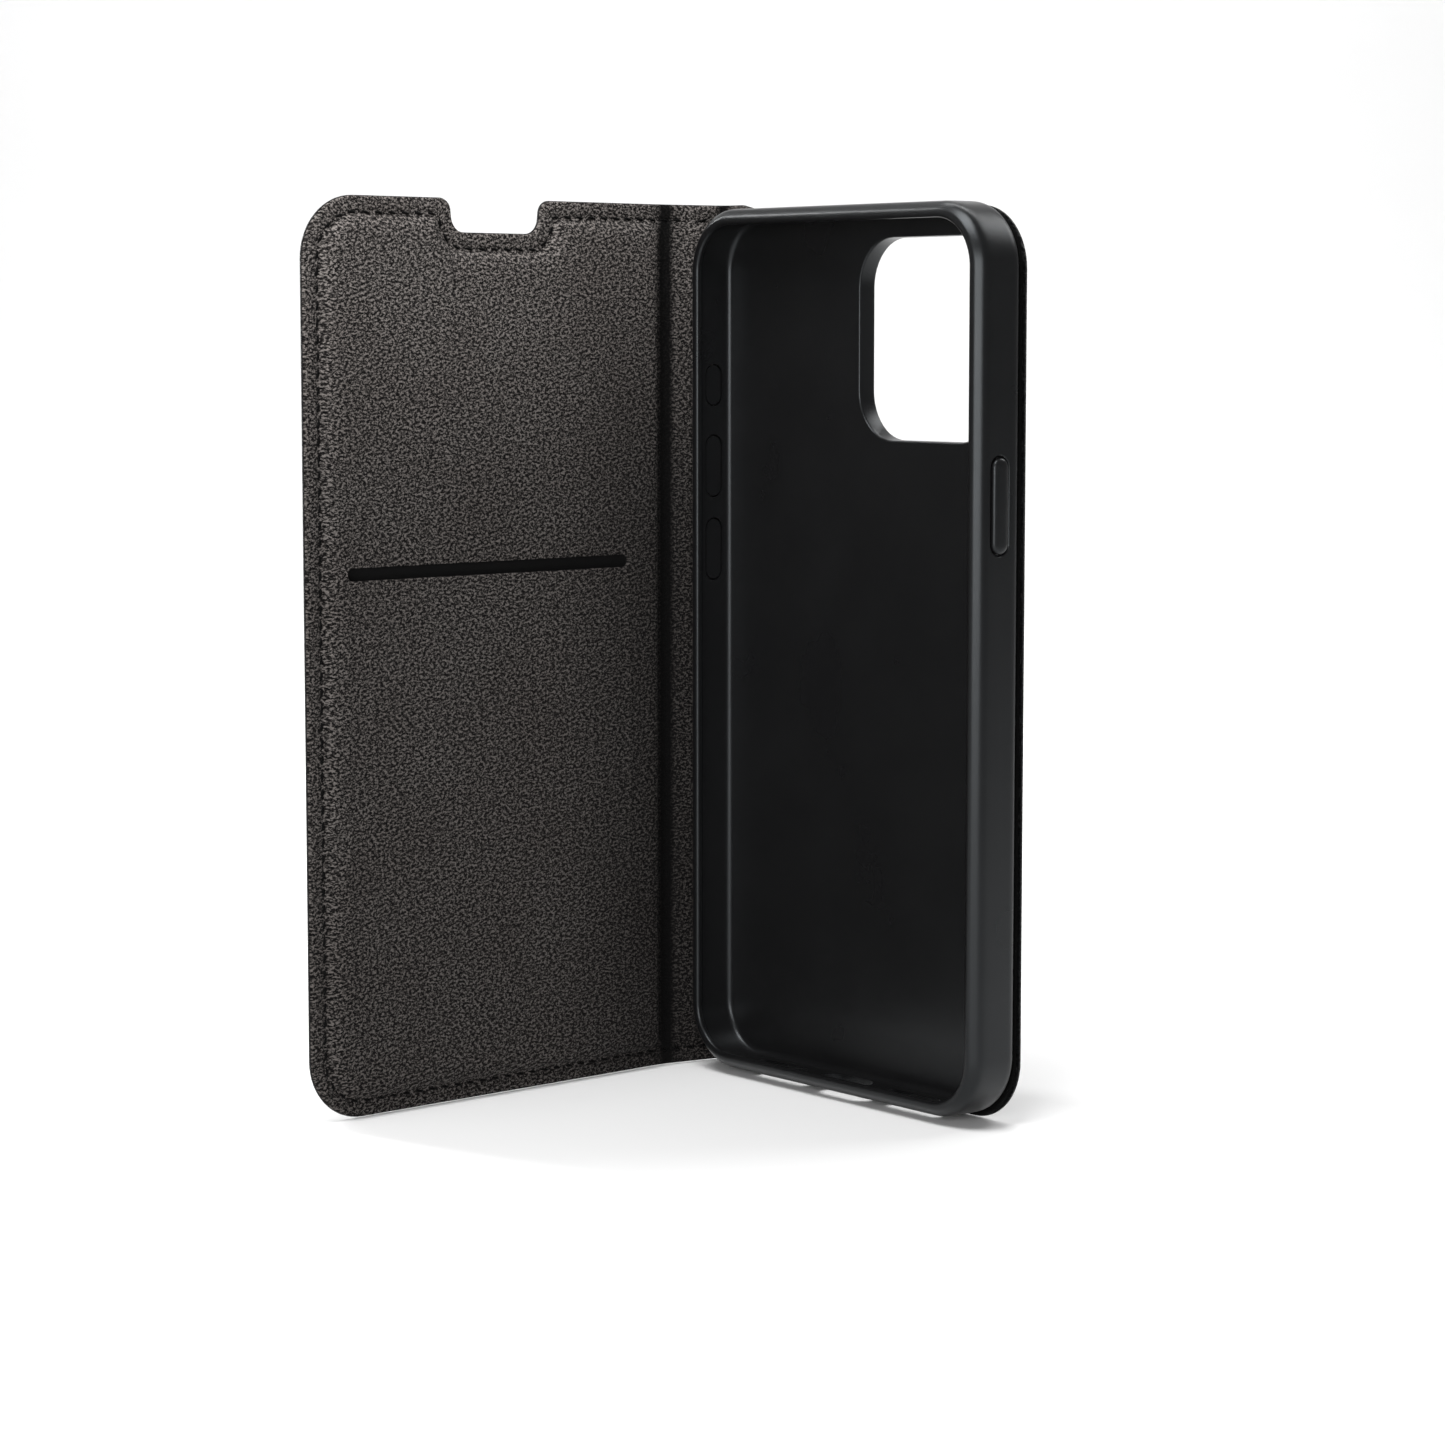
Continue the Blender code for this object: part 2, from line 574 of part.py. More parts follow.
def make_cover(parent, finishes):
    """Leather outside, a board, the spacer round the card pocket, and the lining with the pocket's slot."""
    hard, sewn = finishes["board"], finishes["thread"]
    skin = sheet("cover_skin", cover_outline(0.0, 0.0), SKIN_LAYER, parent, FOLDING, finishes["leather"])
    inside = cover_outline(BOARD_INSET, BOARD_FOLD_INSET, BOARD_CORNER)
    sheet("cover_board", inside, BOARD_LAYER, parent, FOLDING, hard)
    spacer = sheet("pocket_spacer", inside, SPACER_LAYER, parent, FOLDING, hard)
    lining = ring_solid("cover_lining", lining_rings(), parent, FOLDING, finishes["microfibre"])

    left, right = SLOT_CENTRE_U - SLOT_LENGTH / 2, SLOT_CENTRE_U + SLOT_LENGTH / 2
    bottom, top = SLOT_CENTRE_Z - SLOT_HEIGHT / 2, SLOT_CENTRE_Z + SLOT_HEIGHT / 2
    pocket = box_outline(left, right, POCKET_BOTTOM, top, POCKET_CORNER)
    cut(spacer, sheet("pocket_cavity", pocket, (BOARD_LAYER[1], RAISED_LAYER[0]), parent, FOLDING))
    slot = box_outline(left, right, bottom, top, SLOT_END_RADIUS)
    cut(lining, sheet("card_slot", slot, (SPACER_LAYER[1], RAISED_LAYER[1] + CUT), parent, FOLDING))

    run = open_run(cover_outline(SEAM_INSET, GAP))
    seam("cover_thread", skin, run, 0.0, OUTER_THREAD, OUTER_GROOVE, parent, FOLDING, sewn)
    face = HEM_LAYER[1]
    seam("cover_bobbin_thread", lining, run, face, INNER_THREAD, INNER_GROOVE, parent, FOLDING, sewn)


def make_folds(back_axis, cover_axis, finishes):
    """The bent stretches of leather and lining at the two folds."""
    for name, bend, axis in (("back_fold", BACK_BEND, back_axis), ("cover_fold", COVER_BEND, cover_axis)):
        fold_strip(name + "_skin", SKIN_LAYER, bend, axis, finishes["leather"])
        fold_strip(name + "_lining", HEM_LAYER, bend, axis, finishes["microfibre"])


def main():
    clear_scene()
    finishes = {key: material(*values) for key, values in FINISHES.items()}
    tray_axis = empty("tray_axis", None, ORIGIN_TO_FOLD, 0.0)
    spine_axis = empty("spine_axis", tray_axis, (0.0, 0.0, 0.0), SPINE_HEADING)
    cover_axis = empty("cover_axis", spine_axis, (SPINE_PITCH, 0.0, 0.0), COVER_BEND)
    # A fold strip is drawn along the panel before the fold, which for the back fold is the tray's own line
    back_line = empty("back_fold_line", tray_axis, (0.0, 0.0, 0.0), math.pi)
    spine_line = empty("cover_fold_line", spine_axis, (SPINE_PITCH, 0.0, 0.0), 0.0)
    make_back(tray_axis, finishes)
    make_tray(tray_axis, finishes)
    make_spine(spine_axis, finishes)
    make_cover(cover_axis, finishes)
    make_folds(back_line, spine_line, finishes)


main()
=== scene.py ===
"""The looks of the folio wallet case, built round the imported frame. Metres, +Z up.

The leather and the lining are each one sheet that runs from the back panel over the spine to the cover. A
point on it is given by a, the way along the unrolled sheet from the back fold's axis (negative on the back
panel, positive towards the cover), by s, the depth from the outer leather face, and by z. Each sheet is two
pieces that meet in the middle of the spine, because a piece bends across one joint only.
"""

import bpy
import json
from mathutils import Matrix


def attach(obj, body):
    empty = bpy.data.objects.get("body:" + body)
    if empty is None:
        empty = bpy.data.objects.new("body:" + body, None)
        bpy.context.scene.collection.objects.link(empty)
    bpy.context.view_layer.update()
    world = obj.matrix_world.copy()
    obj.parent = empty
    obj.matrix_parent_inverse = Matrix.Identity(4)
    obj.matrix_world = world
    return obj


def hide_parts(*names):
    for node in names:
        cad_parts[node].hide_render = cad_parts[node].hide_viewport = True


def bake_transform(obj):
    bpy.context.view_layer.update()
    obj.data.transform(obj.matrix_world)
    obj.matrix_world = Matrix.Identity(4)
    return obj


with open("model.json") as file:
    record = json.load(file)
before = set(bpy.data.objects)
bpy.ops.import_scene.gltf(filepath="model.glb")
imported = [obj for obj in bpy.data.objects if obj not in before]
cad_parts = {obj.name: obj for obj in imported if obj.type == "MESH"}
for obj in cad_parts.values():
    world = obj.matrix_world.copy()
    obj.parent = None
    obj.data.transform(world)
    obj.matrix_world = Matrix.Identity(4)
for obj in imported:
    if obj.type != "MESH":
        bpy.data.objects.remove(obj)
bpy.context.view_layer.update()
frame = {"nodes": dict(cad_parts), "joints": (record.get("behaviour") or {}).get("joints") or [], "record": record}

import json
import math

import bmesh
import bpy
import numpy as np
from mathutils import Vector
from mathutils.geometry import delaunay_2d_cdt

MM = 0.001

# ---------------- places read from the frame

joints = {joint["name"]: joint for joint in frame["joints"]}
BACK_AXIS = np.array(joints["spine_fold"]["pos_m"][:2])
COVER_AXIS = np.array(joints["cover_fold"]["pos_m"][:2])
SPINE_PITCH = float(np.linalg.norm(COVER_AXIS - BACK_AXIS))

# A fold is shut at its joint's upper limit, where it is bent by a right angle
BACK_BEND = math.radians(90 - joints["spine_fold"]["range_deg"][1])
COVER_BEND = math.radians(90 - joints["cover_fold"]["range_deg"][1])
COVER_HEADING = math.pi + BACK_BEND + COVER_BEND


def span(node, axis, heading, way=1):
    """A node's lowest and highest u, depth from the fold axis, and z, in its panel's own directions."""
    mesh = frame["nodes"][node].data
    points = np.array([vertex.co for vertex in mesh.vertices])
    along = np.array([math.cos(heading), math.sin(heading)])
    inwards = way * np.array([-along[1], along[0]])
    plan = points[:, :2] - axis
    local = np.column_stack([plan @ along, plan @ inwards, points[:, 2]])
    return local.min(axis=0), local.max(axis=0)


def tray_span(node):
    """The same for a node of the back panel or the tray, whose u runs from the fold to the far side."""
    return span(node, BACK_AXIS, 0.0, -1)


skin_low, skin_high = tray_span("back_skin")
shell_low, shell_high = tray_span("phone_shell")
_, cover_high = span("cover_skin", COVER_AXIS, COVER_HEADING)
_, pan_high = span("cover_lining", COVER_AXIS, COVER_HEADING)

AXIS_DEPTH = -float(skin_low[1])
HEIGHT = float(cover_high[2])
COVER_WIDTH = float(cover_high[0])
BACK_RIGHT = float(skin_high[0])
SHELL_LEFT, SHELL_RIGHT = float(shell_low[0]), float(shell_high[0])
SHELL_BOTTOM, SHELL_TOP = float(shell_low[2]), float(shell_high[2])
SHELL_FRONT = float(shell_high[1]) + AXIS_DEPTH
RAISED = float(pan_high[1]) + AXIS_DEPTH

openings = {entry["name"]: np.array(entry["box_m"]) for entry in frame["record"]["physics"]["openings"]}
window_middle = openings["camera_window"].mean(axis=0)
WINDOW_U, WINDOW_Z = float(window_middle[0] - BACK_AXIS[0]), float(window_middle[2])
PORT_S = float(BACK_AXIS[1] - openings["charging_port"].mean(axis=0)[1]) + AXIS_DEPTH
notch_middle = openings["earpiece_notch"].mean(axis=0)[:2] - COVER_AXIS
NOTCH_CENTRE = float(notch_middle @ np.array([math.cos(COVER_HEADING), math.sin(COVER_HEADING)]))

# ---------------- sizes of the visible shapes

COVER_CORNER = 11.5 * MM
NOTCH_TOP, NOTCH_BOTTOM, NOTCH_DEPTH = 21.4 * MM, 20.2 * MM, 6.2 * MM
NOTCH_LIP_RADIUS, NOTCH_FLOOR_RADIUS = 2.4 * MM, 3.1 * MM
NOTCH_LEAST_RADIUS, NOTCH_MOST_RADIUS = 0.9 * MM, 5.5 * MM
NOTCH_CLEAR = 19.5 * MM  # from its centre to the nearest ordinary column
BACK_TOP = SHELL_TOP - 0.6 * MM
BACK_SLOPE = 10.0 * MM

BACK_FOLD_HALF = 3.0 * MM
COVER_FOLD_HALF = 2.4 * MM
MID_SPINE = SPINE_PITCH / 2

SLOT_CENTRE_U, SLOT_CENTRE_Z = 43.6 * MM, 99.3 * MM
SLOT_LENGTH, SLOT_HEIGHT = 66.5 * MM, 2.4 * MM
POCKET_BOTTOM = 17.7 * MM

WINDOW_WIDTH, WINDOW_HEIGHT, WINDOW_CORNER = 36.0 * MM, 37.0 * MM, 9.0 * MM
SHELL_CORNER = 11.8 * MM
SHELL_BACK = 2.0 * MM
SHELL_FLOOR = SHELL_BACK + 1.2 * MM
PORT_WIDTH, PORT_HEIGHT = 13.0 * MM, 5.8 * MM
GRILLE_WIDTH, GRILLE_HEIGHT, GRILLE_OFFSET = 14.0 * MM, 2.8 * MM, 18.5 * MM
BUTTONS = ("power_button", "action_button", "volume_up_button", "volume_down_button")
BUTTON_CLEARANCE = 0.3 * MM

SEAM_INSET = 3.0 * MM
STITCH_PITCH = 3.0 * MM
STITCH_SIDES, STITCH_RINGS = 8, 9
# The depth of the thread's middle, 1 where the face looks towards greater depths or -1, and a stitch's
# length, radius and how far its ends sink
OUTER_STITCH = (0.08 * MM, -1, 2.5 * MM, 0.30 * MM, 0.46 * MM)
INNER_STITCH = (1.38 * MM, 1, 2.0 * MM, 0.26 * MM, 0.40 * MM)

# Each edge below is (distance in from the outline, depth) in mm, from the outside in
LEATHER_EDGE = [(0.0, 0.46), (0.05, 0.30), (0.18, 0.14), (0.40, 0.05), (0.75, 0.02), (2.35, 0.0)]
LEATHER_GROOVE = [(2.52, 0.07), (2.74, 0.24), (3.00, 0.32), (3.24, 0.24), (3.42, 0.06), (3.70, -0.04)]
LEATHER_RISE = [(4.4, -0.10), (5.4, -0.15), (6.8, -0.17)]
LEATHER_HOLE = [(1.6, 0.45), (1.63, 0.28), (1.70, 0.12), (1.8, 0.05)]
LEATHER_INNER = 0.72 * MM

LINING_EDGE = [(0.12, 1.02), (0.17, 1.18), (0.32, 1.33), (0.60, 1.40), (2.45, 1.40)]
LINING_GROOVE = [(2.58, 1.35), (2.78, 1.27), (3.00, 1.23), (3.22, 1.27), (3.38, 1.35), (3.50, 1.42)]
LINING_LEVEL = LINING_GROOVE[-1][1] * MM
LINING_BACK = 0.76 * MM
LINING_CLOTH = 0.5 * MM
SLOT_EDGE = [(0.0, 2.94), (0.05, 3.03), (0.15, 3.09), (0.4, 3.10)]
# The pan's rising edge also has its own distance on the side of the fold
PAN_RISE = [(3.60, 0.00, 1.44), (3.75, 0.06, 1.66), (3.95, 0.14, 1.96), (4.25, 0.28, 2.30)]
PAN_RISE += [(4.70, 0.50, 2.62), (5.30, 0.90, 2.92), (6.10, 1.60, 3.08)]
PAN_FOLD_SIDE = 2.1 * MM
SPINE_PAD = 0.45 * MM
FOLD_PINCH = 0.42 * MM

# ---------------- the unrolled sheet


def on_sheet(a, s, z):
    """World points of a sheet's unrolled points, bent round both folds as at rest."""
    a, s, z = (np.asarray(value, float) for value in np.broadcast_arrays(a, s, z))
    d = s - AXIS_DEPTH
    radius = BACK_FOLD_HALF / math.tan(BACK_BEND / 2)
    turn = np.clip((a + BACK_FOLD_HALF) / (2 * BACK_FOLD_HALF), 0, 1) * BACK_BEND
    u = BACK_FOLD_HALF - (radius - d) * np.sin(turn)
    depth = radius - (radius - d) * np.cos(turn)
    flat = a < -BACK_FOLD_HALF
    u, depth = np.where(flat, -a, u), np.where(flat, d, depth)
    # Past the back fold the sheet is placed in the spine's own directions
    along = np.array([-math.cos(BACK_BEND), math.sin(BACK_BEND)])
    inwards = np.array([math.sin(BACK_BEND), math.cos(BACK_BEND)])
    w = a - SPINE_PITCH
    radius = COVER_FOLD_HALF / math.tan(COVER_BEND / 2)
    turn = np.clip((w + COVER_FOLD_HALF) / (2 * COVER_FOLD_HALF), 0, 1) * COVER_BEND
    p = -COVER_FOLD_HALF + (radius - d) * np.sin(turn)
    q = radius - (radius - d) * np.cos(turn)
    spine, cover = w < -COVER_FOLD_HALF, w > COVER_FOLD_HALF
    cos, sin = math.cos(COVER_BEND), math.sin(COVER_BEND)
    p = np.where(spine, w, np.where(cover, w * cos - d * sin, p))
    q = np.where(spine, d, np.where(cover, w * sin + d * cos, q))
    beyond = a > BACK_FOLD_HALF
    u = np.where(beyond, (SPINE_PITCH + p) * along[0] + q * inwards[0], u)
    depth = np.where(beyond, (SPINE_PITCH + p) * along[1] + q * inwards[1], depth)
    return np.stack([BACK_AXIS[0] + u, BACK_AXIS[1] - depth, z], axis=-1)


def in_tray(u, s, z):
    """World points of the tray's own u, depth and height."""
    u, s, z = (np.asarray(value, float) for value in np.broadcast_arrays(u, s, z))
    return np.stack([BACK_AXIS[0] + u, BACK_AXIS[1] - (s - AXIS_DEPTH), z], axis=-1)


# ---------------- outlines


def rounded(corners, insets):
    """The outline of a polygon with rounded corners, moved inwards.

    corners lists (u, z, radius, steps) anticlockwise, and insets says how far each edge moves in, the first
    being the edge from corner 0 to corner 1. A corner with no steps stays sharp.
    """
    count = len(corners)
    lines = []
    for i in range(count):
        a, b = corners[i], corners[(i + 1) % count]
        length = math.hypot(b[0] - a[0], b[1] - a[1])
        along = ((b[0] - a[0]) / length, (b[1] - a[1]) / length)
        lines.append(((a[0] - along[1] * insets[i], a[1] + along[0] * insets[i]), along))
    outline = []
    for i in range(count):
        (p, d), (q, e) = lines[i - 1], lines[i]
        turn = d[0] * e[1] - d[1] * e[0]
        reach = ((q[0] - p[0]) * e[1] - (q[1] - p[1]) * e[0]) / turn
        vertex = (p[0] + d[0] * reach, p[1] + d[1] * reach)
        steps = corners[i][3]
        if not steps:
            outline.append(vertex)
            continue
        inset = min(insets[i - 1], insets[i])
        radius = max(corners[i][2] - math.copysign(inset, turn), 0.1 * MM)
        angle = math.atan2(turn, d[0] * e[0] + d[1] * e[1])
        side = math.copysign(radius, turn)
        tangent = radius * math.tan(abs(angle) / 2)
        start = (vertex[0] - d[0] * tangent, vertex[1] - d[1] * tangent)
        centre = (start[0] - d[1] * side, start[1] + d[0] * side)
        spoke = (d[1] * side, -d[0] * side)
        for step in range(steps + 1):
            part = angle * step / steps
            outline.append(
                (
                    centre[0] + spoke[0] * math.cos(part) - spoke[1] * math.sin(part),
                    centre[1] + spoke[0] * math.sin(part) + spoke[1] * math.cos(part),
                )
            )
    return outline


def with_stations(outline, columns, rows, closed=True):
    """The outline with a point wherever a level stretch meets a column, or an upright one a row."""
    near = 0.01 * MM
    dense = []
    for i, (u, z) in enumerate(outline):
        dense.append((u, z))
        if i == len(outline) - 1 and not closed:
            break
        v, y = outline[(i + 1) % len(outline)]
        if abs(z - y) < near:
            between = sorted(c for c in columns if min(u, v) + near < c < max(u, v) - near)
            dense += [(c, z) for c in (between if v > u else between[::-1])]
        elif abs(u - v) < near:
            between = sorted(r for r in rows if min(z, y) + near < r < max(z, y) - near)
            dense += [(u, r) for r in (between if y > z else between[::-1])]
    return dense


def evenly(start, stop, step):
    count = max(1, round((stop - start) / step))
    return [start + (stop - start) * i / count for i in range(count + 1)]


FOLD_COLUMN_STEP = 0.4 * MM
PANEL_STEP = 5.0 * MM
EDGE_ROWS = evenly(16 * MM, HEIGHT - 16 * MM, PANEL_STEP)  # clear of the corners
LATTICE_ROWS = evenly(5 * MM, HEIGHT - 5 * MM, 4 * MM)


def cover_columns():
    """Columns over half the spine and the cover's fold, then sparser ones clear of the notch and the corners.

    A column is a value of a at which an outline has a point on each of its level edges.
    """
    notch_left, notch_right = NOTCH_CENTRE - NOTCH_CLEAR, NOTCH_CENTRE + NOTCH_CLEAR
    near = evenly(MID_SPINE, SPINE_PITCH + COVER_FOLD_HALF, FOLD_COLUMN_STEP)
    left = [SPINE_PITCH + c for c in evenly(COVER_FOLD_HALF + 2 * MM, notch_left, PANEL_STEP)]
    right = [SPINE_PITCH + c for c in evenly(notch_right, COVER_WIDTH - 13 * MM, PANEL_STEP)]
    floor = [SPINE_PITCH + NOTCH_CENTRE + c * MM for c in (-2, 0, 2)]
    return near[1:] + left + floor + right


def notch_corners(inset, lower):
    """The notch's corners, from its far lip to its near one. lower is the radius of the two at its floor."""
    left, right = NOTCH_CENTRE - NOTCH_TOP / 2, NOTCH_CENTRE + NOTCH_TOP / 2
    floor_left, floor_right = NOTCH_CENTRE - NOTCH_BOTTOM / 2, NOTCH_CENTRE + NOTCH_BOTTOM / 2
    upper = max(NOTCH_LIP_RADIUS, NOTCH_LEAST_RADIUS + inset)
    return [
        (SPINE_PITCH + right, HEIGHT, upper, 8),
        (SPINE_PITCH + floor_right, HEIGHT - NOTCH_DEPTH, lower, 8),
        (SPINE_PITCH + floor_left, HEIGHT - NOTCH_DEPTH, lower, 8),
        (SPINE_PITCH + left, HEIGHT, upper, 8),
    ]


def cover_outline(inset):
    """The cover and half the spine, from the spine's middle at the bottom round to it at the top."""
    corners = [
        (MID_SPINE, 0.0, 0.0, 0),
        (SPINE_PITCH + COVER_WIDTH, 0.0, COVER_CORNER, 16),
        (SPINE_PITCH + COVER_WIDTH, HEIGHT, COVER_CORNER, 16),
        *notch_corners(inset, min(NOTCH_FLOOR_RADIUS, NOTCH_MOST_RADIUS - inset)),
        (MID_SPINE, HEIGHT, 0.0, 0),
    ]
    return with_stations(rounded(corners, [inset] * 7 + [0.0]), cover_columns(), EDGE_ROWS, False)


def pan_outline(inset, fold_inset):
    """The raised part of the cover's lining: the cover without its spine side, rounded at the fold."""
    lower = max(min(NOTCH_FLOOR_RADIUS, NOTCH_MOST_RADIUS - inset), -inset + 0.3 * MM)
    corner = max(3.0 * MM, 1.5 * MM + min(inset, fold_inset))
    corners = [
        (SPINE_PITCH, 0.0, corner, 6),
        (SPINE_PITCH + COVER_WIDTH, 0.0, COVER_CORNER, 12),
        (SPINE_PITCH + COVER_WIDTH, HEIGHT, COVER_CORNER, 12),
        *notch_corners(inset, lower),
        (SPINE_PITCH, HEIGHT, corner, 6),
    ]
    columns = [c for c in cover_columns() if c > SPINE_PITCH + 14 * MM]
    return with_stations(rounded(corners, [inset] * 7 + [fold_inset]), columns, EDGE_ROWS)


def back_columns():
    near = evenly(-MID_SPINE, BACK_FOLD_HALF, FOLD_COLUMN_STEP)
    return near[1:] + evenly(BACK_SLOPE + 14 * MM, BACK_RIGHT - 14 * MM, PANEL_STEP)


def back_outline(inset, side_inset=0.0):
    """The back panel and half the spine, with u running from the fold towards the tray's far side."""
    corners = [
        (-MID_SPINE, 0.0, 0.0, 0),
        (BACK_RIGHT, 0.0, COVER_CORNER, 16),
        (BACK_RIGHT, BACK_TOP, COVER_CORNER, 16),
        (BACK_FOLD_HALF + BACK_SLOPE, BACK_TOP, BACK_SLOPE, 8),
        (BACK_FOLD_HALF + 2 * MM, HEIGHT, 8 * MM, 8),
        (-MID_SPINE, HEIGHT, 0.0, 0),
    ]
    insets = [inset, inset + side_inset, inset, inset, inset, 0.0]
    return with_stations(rounded(corners, insets), back_columns(), EDGE_ROWS, False)


def box_outline(low_u, high_u, low_z, high_z, radius, steps=12):
    corners = [
        (low_u, low_z, radius, steps),
        (high_u, low_z, radius, steps),
        (high_u, high_z, radius, steps),
        (low_u, high_z, radius, steps),
    ]
    return rounded(corners, [0.0] * 4)


def window_outline(grow):
    half_width, half_height = WINDOW_WIDTH / 2 + grow, WINDOW_HEIGHT / 2 + grow
    return box_outline(
        WINDOW_U - half_width,
        WINDOW_U + half_width,
        WINDOW_Z - half_height,
        WINDOW_Z + half_height,
        WINDOW_CORNER + grow,
    )


# ---------------- patterns: flat points with depths


def inside(points, loops):
    """Which points lie inside the first loop and outside the others."""
    x, y = points[:, 0], points[:, 1]
    crossed = np.zeros(len(points), bool)
    for loop in loops:
        ends = np.roll(loop, -1, axis=0)
        for (x0, y0), (x1, y1) in zip(loop, ends):
            spans = (y0 > y) != (y1 > y)
            if spans.any():
                crossed ^= spans & (x < x0 + (y - y0) * (x1 - x0) / (y1 - y0 + 1e-300))
    return crossed


class Pattern:
    """Flat points, each with a depth, and the faces between them."""

    def __init__(self):
        self.points = []
        self.faces = []

    def add(self, outline, depth):
        start = len(self.points)
        self.points += [(u, z, depth) for u, z in outline]
        return list(range(start, len(self.points)))

    def strip(self, first, second, closed=True):
        assert len(first) == len(second), (len(first), len(second))
        for i in range(len(first) if closed else len(first) - 1):
            j = (i + 1) % len(first)
            self.faces.append((first[i], first[j], second[j], second[i]))

    def band(self, shape, section, closed=True):
        """Rings of shape(distance) at each (distance, depth) of a section in mm, with faces between them.

        A shape may take several distances. Returns the first and the last ring.
        """
        rings = [self.add(shape(*(d * MM for d in distances)), depth * MM) for *distances, depth in section]
        for first, second in zip(rings, rings[1:]):
            self.strip(first, second, closed)
        return rings[0], rings[-1]

    def spine_side(self, rim, depth):
        """The rim with points down its straight side, along the middle of the spine."""
        (u, low), (_, high) = self.points[rim[0]][:2], self.points[rim[-1]][:2]
        rows = [z for z in reversed(LATTICE_ROWS) if low + 1 * MM < z < high - 1 * MM]
        return rim + self.add([(u, z) for z in rows], depth)

    def fill(self, rim, holes=(), inner=(), depth=0.0, clear=0.5 * MM):
        """Triangles from the rim to the holes, through those inner points that are clear of both."""
        loops = [np.array([self.points[i][:2] for i in loop]) for loop in (rim, *holes)]
        kept = []
        if len(inner):
            inner = np.array(inner)
            ends = [(loop, np.roll(loop, -1, axis=0)) for loop in loops]
            edge = np.vstack([(1 - t) * a + t * b for a, b in ends for t in (0, 0.25, 0.5, 0.75)])
            far = np.array([np.min(np.hypot(*(edge - point).T)) > clear for point in inner])
            kept = inner[far & inside(inner, loops)]
        indices = [i for loop in (rim, *holes) for i in loop]
        indices += self.add([tuple(point) for point in kept], depth)
        edges, start = [], 0
        for loop in loops:
            count = len(loop)
            edges += [(start + i, start + (i + 1) % count) for i in range(count)]
            start += count
        flat = [Vector((self.points[i][0] / MM, self.points[i][1] / MM)) for i in indices]
        places, _, triangles, origins, _, _ = delaunay_2d_cdt(flat, edges, [], 0, 1e-5)
        source = [indices[origin[0]] for origin in origins]
        middles = np.array([np.mean([places[v] for v in face], axis=0) for face in triangles]) * MM
        for face, keep in zip(triangles, inside(middles, loops)):
            corners = {source[v] for v in face}
            if keep and len(corners) == 3:
                self.faces.append(tuple(source[v] for v in face))


def link(name, data):
    made = bpy.data.objects.new(name, data)
    bpy.context.scene.collection.objects.link(made)
    return made


def shade(mesh, sharp):
    """Smooth shading, but for edges sharper than this many degrees."""
    mesh.shade_smooth()
    mesh.set_sharp_from_angle(angle=math.radians(sharp))


def closed_mesh(name, points, faces):
    """A mesh with its faces turned outwards."""
    mesh = bpy.data.meshes.new(name)
    mesh.from_pydata([tuple(point) for point in points], [], faces)
    shape = bmesh.new()
    shape.from_mesh(mesh)
    bmesh.ops.recalc_face_normals(shape, faces=shape.faces)
    shape.to_mesh(mesh)
    shape.free()
    return mesh


def surface(name, points, faces, pattern_uv, finish, sharp=40):
    """A smooth-shaded closed object with a UV map in tenths of a metre, named pattern."""
    mesh = closed_mesh(name, points, faces)
    layer = mesh.uv_layers.new(name="pattern")
    vertices = np.zeros(len(mesh.loops), int)
    mesh.loops.foreach_get("vertex_index", vertices)
    layer.data.foreach_set("uv", np.asarray(pattern_uv, np.float32)[vertices].ravel())
    shade(mesh, sharp)
    mesh.materials.append(finish)
    return link(name, mesh)


def sheet_object(name, pattern, front, back, place, finish):
    """A closed sheet from a pattern. front and back give the depths of its two faces from (u, z, depth).

    The grain is laid out along a, so that it runs on from one sheet to the next.
    """
    flat = np.array(pattern.points)
    depths = np.concatenate([front(flat), back(flat)])
    count = len(flat)
    both = np.vstack([flat, flat])
    faces = list(pattern.faces)
    faces += [tuple(i + count for i in reversed(face)) for face in pattern.faces]
    once = set()
    for face in pattern.faces:
        for i, j in zip(face, face[1:] + face[:1]):
            once ^= {(min(i, j), max(i, j))}
    faces += [(i, j, j + count, i + count) for i, j in sorted(once)]
    points = place(both[:, 0], depths, both[:, 1])
    way = -1 if place is back_place else 1
    return surface(name, points, faces, both[:, :2] * (10 * way, 10), finish)


def smooth_step(value, start, stop):
    t = np.clip((value - start) / (stop - start), 0, 1)
    return t * t * (3 - 2 * t)


def back_place(u, s, z):
    """Back-panel patterns run from the fold towards the tray's far side, against the sheet's own a."""
    return on_sheet(-u, s, z)


# ---------------- materials


